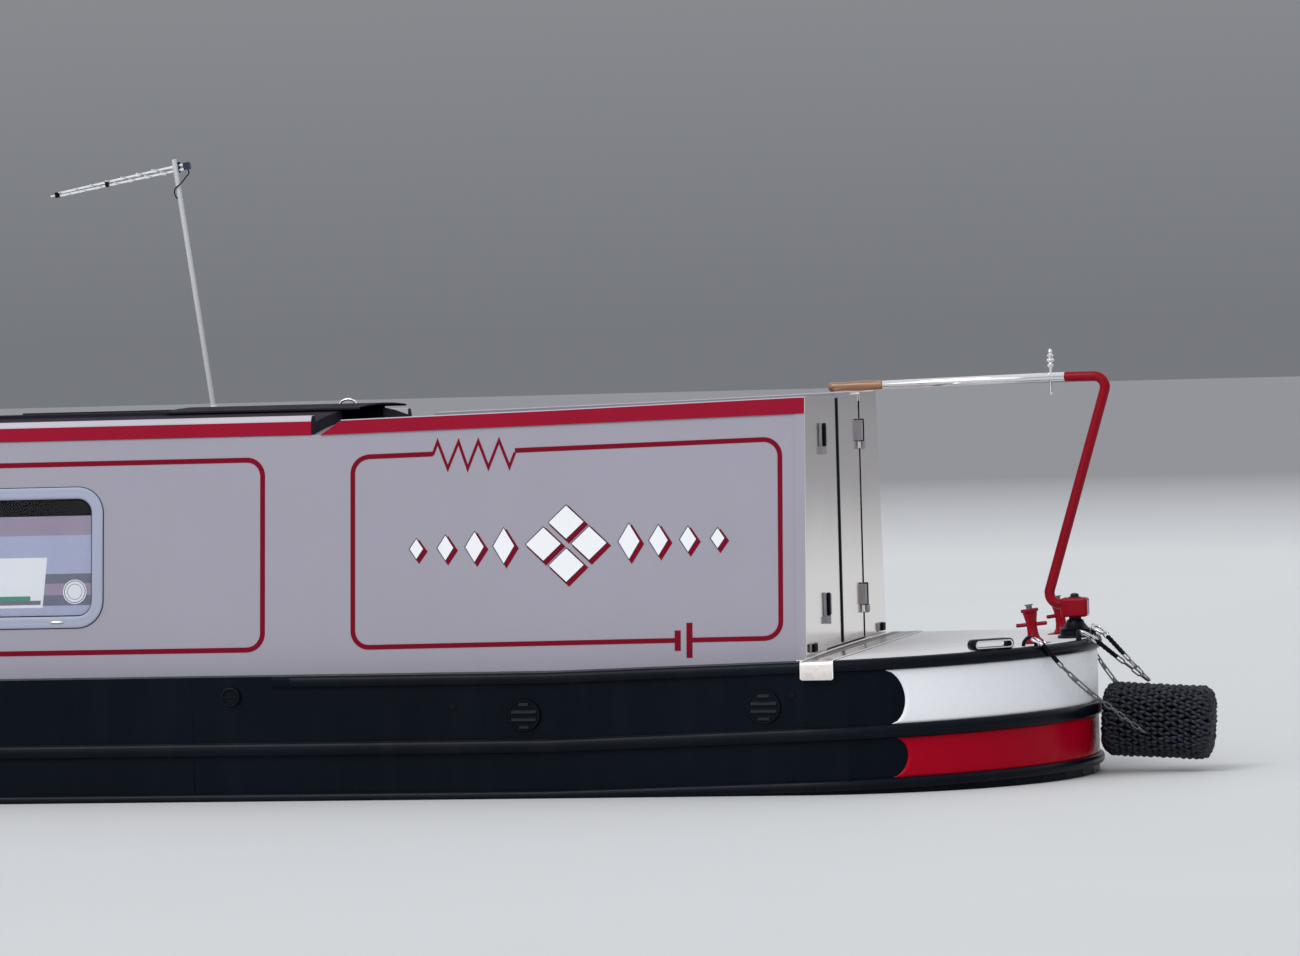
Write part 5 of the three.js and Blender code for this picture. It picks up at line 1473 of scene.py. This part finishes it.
def make_sill():
    """A tread that folds down over the gunwale at both sides, with the step under the doors. Its flat top is
    a painted reflection in dark grey, and white beads along its edges are painted highlights.
    """
    form, top, edges = Form(), Form(), Form()
    rings = []
    for s in SILL_STEPS:
        near = min(s, SILL_REACH - s, SILL_CORNER)
        foot = LIP_FOOT + SILL_CORNER - math.sqrt(SILL_CORNER ** 2 - (SILL_CORNER - near) ** 2)
        rings.append(sill_section(STERN + s, foot, 0) + sill_section(STERN + s, foot, SILL_SHEET)[::-1])
    form.rings(rings)
    make("sill_lips", form, "lip", smooth=40, stands_for="sill_plate")
    # The step, the tread's top and its fore strip take flat dark grey: a painted reflection on polished
    # steel.
    port, starboard = STEP_SIDES
    stern_box(top, (-0.039, port, 1.1155), (0.006, starboard, STEP_TOP))
    deck = sheer(STERN, TOP) + SILL_RISE
    stern_box(top, (0.003, -1.0290, deck - 0.001), (0.1285, 1.0290, deck + 0.0012))
    places = [-1.030 + 2.060 * i / 40 for i in range(41)]
    fore, aft = STERN + 0.0003, STERN + 0.0063
    top.rings([
        [(fore, y, deck - 0.001), (aft, y, deck - 0.001), (aft, y, coaming_top(y)), (fore, y, coaming_top(y))]
        for y in places
    ])
    make("sill_tread", top, "tread", smooth=30)
    # White beads along the fore strip, the folds and the step: painted highlights on the polished edges.
    edges.tube([Vector((STERN + 0.0055, y, coaming_top(y))) for y in places], 0.0034, 10)
    for s in (0.0014, 0.1286):
        outline = sill_section(STERN + s, LIP_FOOT + 0.006, 0)
        edges.tube([Vector(place) + Vector((0, 0, 0.0004)) for place in outline], 0.0018, 8)
    edges.rod((STERN + 0.006, port, STEP_TOP), (STERN + 0.006, starboard, STEP_TOP), 0.0017, 8)
    make("sill_painted_highlights", edges, "edge", smooth=60)


# The grey over a stern panel's outer edge: aft of the bulkhead, out from the cabin side
RETURN = [(-0.0410, 0.0014), (-0.0006, 0.0014), (-0.0006, 0.0026), (-0.0016, 0.0034), (-0.0410, 0.0034)]


def make_panel_returns():
    """Grey paint over the stern panels' outer edges, where the cabin side runs on to the stern."""
    for name, side in SIDES.items():
        form = Form().rings([
            [(STERN + s, side * (side_y(z) + out), z) for s, out in RETURN] for z in (1.1165, 2.0715)
        ])
        make(f"panel_return_{name}", form, "grey", smooth=30)


# Round vents and fittings in the hull side

# Aft of the bulkhead, above the water, radius
VENTS = [(-1.103, 0.325, 0.0635), (-0.150, 0.345, 0.065)]
SKIN_FITTING = (-2.287, 0.412, 0.038)
DRAINS = [(-1.391, 0.365), (-0.041, 0.390)]
# A louvre's section: out from the vent, above its middle
LOUVRE = [(-0.001, -0.0060), (0.0085, -0.0075), (0.0095, -0.0045), (-0.001, 0.0060)]
LOUVRE_PITCH = 0.0295
DRAIN = [(0.0, 0.0004), (0.011, 0.0006), (0.0125, 0.0022), (0.0145, 0.0022), (0.016, 0.0),
         (0.016, -0.004), (0.0, -0.004)]


def make_vent(rims, louvres, place, side, radius):
    edge = radius + 0.0015
    rims.turned([(radius - 0.008, 0.0), (radius - 0.006, 0.0035), (radius - 0.001, 0.0035), (edge, 0.0),
                 (edge, -0.010), (radius - 0.008, -0.010)], place, (0, side, 0), 32)
    for k in range(4):
        high = (k - 1.5) * LOUVRE_PITCH
        half = math.sqrt((radius - 0.010) ** 2 - (abs(high) + 0.006) ** 2)
        louvres.rings([
            [place + Vector((dx, side * out, high + rise)) for out, rise in LOUVRE] for dx in (-half, half)
        ])


def make_hull_rounds():
    louvres, rims, holes = Form(), Form(), Form()

    def on_hull(s, z, out):
        return Vector((STERN + s, side * (HULL_HALF + out), WATER + z))

    for side in SIDES.values():
        for s, z, radius in VENTS:
            make_vent(rims, louvres, on_hull(s, z, 0.0068), side, radius)
        s, z, radius = SKIN_FITTING
        place = on_hull(s, z, 0.0098)
        edge = radius + 0.0015
        rims.turned([(0.029, -0.012), (0.029, 0.004), (0.031, 0.0075), (0.035, 0.0080), (0.0385, 0.0055),
                     (edge, 0.0), (edge, -0.012)], place, (0, side, 0), 36)
        bar = [place + Vector((dx, side * 0.003, 0)) for dx in (-0.0295, 0.0295)]
        rims.rod(*bar, 0.0030, 10)
        for s, z in DRAINS:
            holes.turned(DRAIN, on_hull(s, z, 0.0002), (0, side, 0), 20)
    make("vent_louvres", louvres, "louvre", smooth=30)
    make("vent_rims", rims, "guard", smooth=45)
    make("drain_outlets", holes, "guard", smooth=45)


# Roof: hatch handle, headlamp and aerial

ROOF_CREST = 2.132
HATCH_CREST = 2.146
ROOF_VENTS = (-6.6, -8.8, -10.9)
VENT_CAP = [(0.0, -0.004), (0.054, -0.004), (0.054, 0.003), (0.0475, 0.005), (0.0475, 0.0290),
            (0.0700, 0.0300), (0.0757, 0.0330), (0.0765, 0.0375), (0.0757, 0.0430), (0.0640, 0.0520),
            (0.0495, 0.0595), (0.0250, 0.0660), (0.0, 0.0680)]
# The handle's curve, in half lengths and heights
HANDLE = [(-1.0, 0), (-0.8, 0.45), (0, 0.8), (0.8, 0.45), (1.0, 0)]


def make_roof_fittings():
    path = [Vector((STERN - 2.0515 + p.x * 0.034, 0, HATCH_CREST - 0.002 + p.y * 0.024))
            for p in smooth_path(HANDLE, 6)]
    make("hatch_handle", Form().tube(path, 0.0052, 12), "chrome", "hatch", smooth=50)
    vents = Form()
    for s in ROOF_VENTS:
        vents.turned(VENT_CAP, (STERN + s, 0, ROOF_CREST), (0, 0, 1), 40)
    make("roof_vent_caps", vents, "chrome", smooth=40)


LAMP_HEIGHT = 2.237
LAMP_SHELL = [(0.0, 0.012), (0.074, 0.012), (0.078, 0.006), (0.088, 0.0), (0.092, 0.004), (0.0925, 0.014),
              (0.089, 0.022), (0.083, 0.042), (0.070, 0.068), (0.052, 0.094), (0.030, 0.109), (0.0, 0.114)]
LAMP_LENS = [(0.0, 0.000), (0.040, 0.002), (0.077, 0.007), (0.077, 0.010), (0.0, 0.010)]


def make_headlamp():
    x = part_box("headlamp")[0].x
    place = (x, 0, LAMP_HEIGHT)
    lamp = Form().turned(LAMP_SHELL, place, (1, 0, 0), 36)
    lamp.box((x + 0.020, -0.014, 2.137), (x + 0.060, 0.014, 2.180))
    lamp.rod((x + 0.040, 0, ROOF_CREST + 0.0003), (x + 0.040, 0, ROOF_CREST + 0.0083), 0.040, 28, edge=0.001)
    make("headlamp_shell", lamp, "chrome", smooth=40, stands_for="headlamp")
    make("headlamp_lens", Form().turned(LAMP_LENS, place, (1, 0, 0), 36), "lens", smooth=40)


AERIAL_Y = 0.500
AERIAL_FOOT = [(0.0, 0), (0.040, 0), (0.040, 0.006), (0.038, 0.008), (0.018, 0.009), (0.016, 0.030),
               (0.013, 0.034), (0.0, 0.034)]
# Half the gap between the head's two bars, at their tip and at their block
BAR_GAPS = (0.0060, 0.0100)
ROD_COUNT = 14
# The cable from the block to the mast: down from its head, along the boat, away from it
CABLE = [(0.075, 0.036, 0.012), (0.094, 0.024, -0.006), (0.108, 0.010, -0.0135), (0.122, -0.010, -0.0125),
         (0.140, -0.021, 0.0), (0.160, -0.018, 0.004), (0.172, -0.008, 0.0120), (0.180, 0.0, 0.0135)]


def square_bar(form, start, end, across, up, half):
    form.rings([
        [p + across * (a * half) + up * (b * half) for a, b in ((-1, -1), (1, -1), (1, 1), (-1, 1))]
        for p in (start, end)
    ])


def make_aerial():
    """A log-periodic head: two bars that draw together, with rods to either side by turns."""
    metal_form, mast, dark, block = Form(), Form(), Form(), Form()
    foot = Vector((STERN - 2.768, AERIAL_Y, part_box("aerial")[0].z))
    head = Vector((STERN - 2.912, AERIAL_Y, WATER + 2.583))
    mast.turned(AERIAL_FOOT, foot, (0, 0, 1), 28)
    mast.rod(foot + Vector((0, 0, 0.006)), head, 0.0108, 24, edge=0.0015)
    lean = (head - foot).normalized()
    beside = AERIAL_Y + 0.0165
    tip = Vector((STERN - 3.458, beside, WATER + 2.4465))
    back = Vector((STERN - 2.861, beside, WATER + 2.555))
    way = (back - tip).normalized()
    across = Vector((0, 1, 0))
    up = across.cross(way) * -1

    def bar(form, start, end, half):
        square_bar(form, start, end, across, up, half)

    near, far = BAR_GAPS
    for rise in (-1, 1):
        bar(metal_form, tip + way * 0.020 + up * (rise * near), back + up * (rise * far), 0.0040)
    bar(metal_form, tip - way * 0.006, tip + way * 0.030, 0.0030)
    for i in range(ROD_COUNT):
        share = i / (ROD_COUNT - 1)
        t = 0.07 + 0.78 * share
        half = 0.034 + 0.066 * share ** 1.2
        gap = near + (far - near) * t
        turn = 1 if i % 2 else -1
        for rise in (-1, 1):
            start = tip.lerp(back, t) + up * (rise * gap)
            metal_form.rod(start, start + across * (rise * turn * half), 0.0028, 10, edge=0.0006)
    make("aerial_metal", metal_form, "alloy", smooth=40, stands_for="aerial")
    make("aerial_mast", mast, "mast", smooth=40)
    middle = tip.lerp(back, 0.41)
    bar(dark, middle - way * 0.0065, middle + way * 0.0065, 0.0130)
    bar(dark, tip + way * 0.016, tip + way * 0.034, 0.0110)
    clamp = head - lean * 0.033
    dark.box((clamp.x - 0.011, AERIAL_Y + 0.006, clamp.z - 0.022),
             (clamp.x + 0.011, AERIAL_Y + 0.040, clamp.z + 0.022))
    make("aerial_clips", dark, "rubber", smooth=30)
    bar(block, back - way * 0.014, back + way * 0.012, 0.0155)
    make("aerial_block", block, "navy", smooth=30, bevel=0.002)
    places = [back - up * 0.012, back - up * 0.030 + way * 0.002]
    places += [head - lean * down + Vector((along_boat, away, 0)) for down, along_boat, away in CABLE]
    places += [foot.lerp(head, share) + Vector((0, 0.0133, 0)) for share in (0.7, 0.4, 0.06)]
    make("aerial_cable", Form().tube(smooth_path(places, 8), 0.0026, 10), "rubber", smooth=60)


# Stage: floor at the waterline, light and sky

# How far the pale floor reaches each way, and between which distances it darkens: painted shade, a painted
# pool of light round the boat that fades out
FLOOR_REACH = 140
FLOOR_SHADE_REACH = (22, 44)
# The sky's greys, from the horizon to straight up
SKY = [(0.50, (0.20, 0.21, 0.23, 1)), (0.54, (0.30, 0.31, 0.33, 1)), (0.62, (0.76, 0.78, 0.81, 1)),
       (1.0, (0.92, 0.94, 0.97, 1))]
SKY_STRENGTH = 0.9


def make_floor():
    mesh = bpy.data.meshes.new("floor")
    corners = [(x * FLOOR_REACH, y * FLOOR_REACH, WATER) for x, y in ((-1, -1), (1, -1), (1, 1), (-1, 1))]
    mesh.from_pydata(corners, [], [(0, 1, 2, 3)])
    look = Look("pale_floor", Roughness=0.6, Specular_IOR_Level=0.1)
    reach = look.nodes.new("ShaderNodeVectorMath")
    reach.operation = "LENGTH"
    look.links.new(look.place, reach.inputs[0])
    near = look.mix(look.noise(0.4, 3), (0.60, 0.61, 0.62), (0.64, 0.65, 0.66))
    # Painted shade: pale near the boat, dark grey far off, as a painted pool of light.
    look.colour(look.mix(look.spread(reach.outputs["Value"], *FLOOR_SHADE_REACH), near, (0.24, 0.24, 0.26)))
    mesh.materials.append(look.material)
    put("floor", mesh)


def make_sun(name, energy, spread, tilt, turn):
    """A far soft light: how wide it looks and how it is turned, in degrees."""
    sun = bpy.data.lights.new(name, "SUN")
    sun.energy = energy
    sun.angle = math.radians(spread)
    put(name, sun).rotation_euler = (math.radians(tilt), 0, math.radians(turn))


def make_sky():
    world = bpy.data.worlds.new("sky")
    world.use_nodes = True
    nodes, links = world.node_tree.nodes, world.node_tree.links
    place = nodes.new("ShaderNodeTexCoord")
    split = nodes.new("ShaderNodeSeparateXYZ")
    ramp = nodes.new("ShaderNodeValToRGB")
    elements = ramp.color_ramp.elements
    for element, (position, colour) in zip((elements[0], elements[1]), (SKY[0], SKY[-1])):
        element.position = position
        element.color = colour
    for position, colour in SKY[1:-1]:
        elements.new(position).color = colour
    scale = nodes.new("ShaderNodeMapRange")
    scale.inputs["From Min"].default_value = -1
    links.new(place.outputs["Generated"], split.inputs["Vector"])
    links.new(split.outputs["Z"], scale.inputs["Value"])
    links.new(scale.outputs["Result"], ramp.inputs["Fac"])
    links.new(ramp.outputs["Color"], nodes["Background"].inputs["Color"])
    nodes["Background"].inputs["Strength"].default_value = SKY_STRENGTH
    bpy.context.scene.world = world
    bpy.context.scene.view_settings.view_transform = "Standard"


make_camera()
dress_cad()
make_guards()
make_bands()
make_bow_skin()
make_deck()
make_coach_lines()
make_stern_ornament()
make_windows()
make_fenders()
make_chains()
make_tiller()
make_rudder()
make_dollies()
make_fairlead()
make_stern_hinges()
make_door_trim()
make_sill()
make_panel_returns()
make_hull_rounds()
make_roof_fittings()
make_headlamp()
make_aerial()
make_floor()
make_sun("sun", 1.0, 30, 42, -28)
make_sun("fill", 0.8, 70, 78, -20)
make_sky()
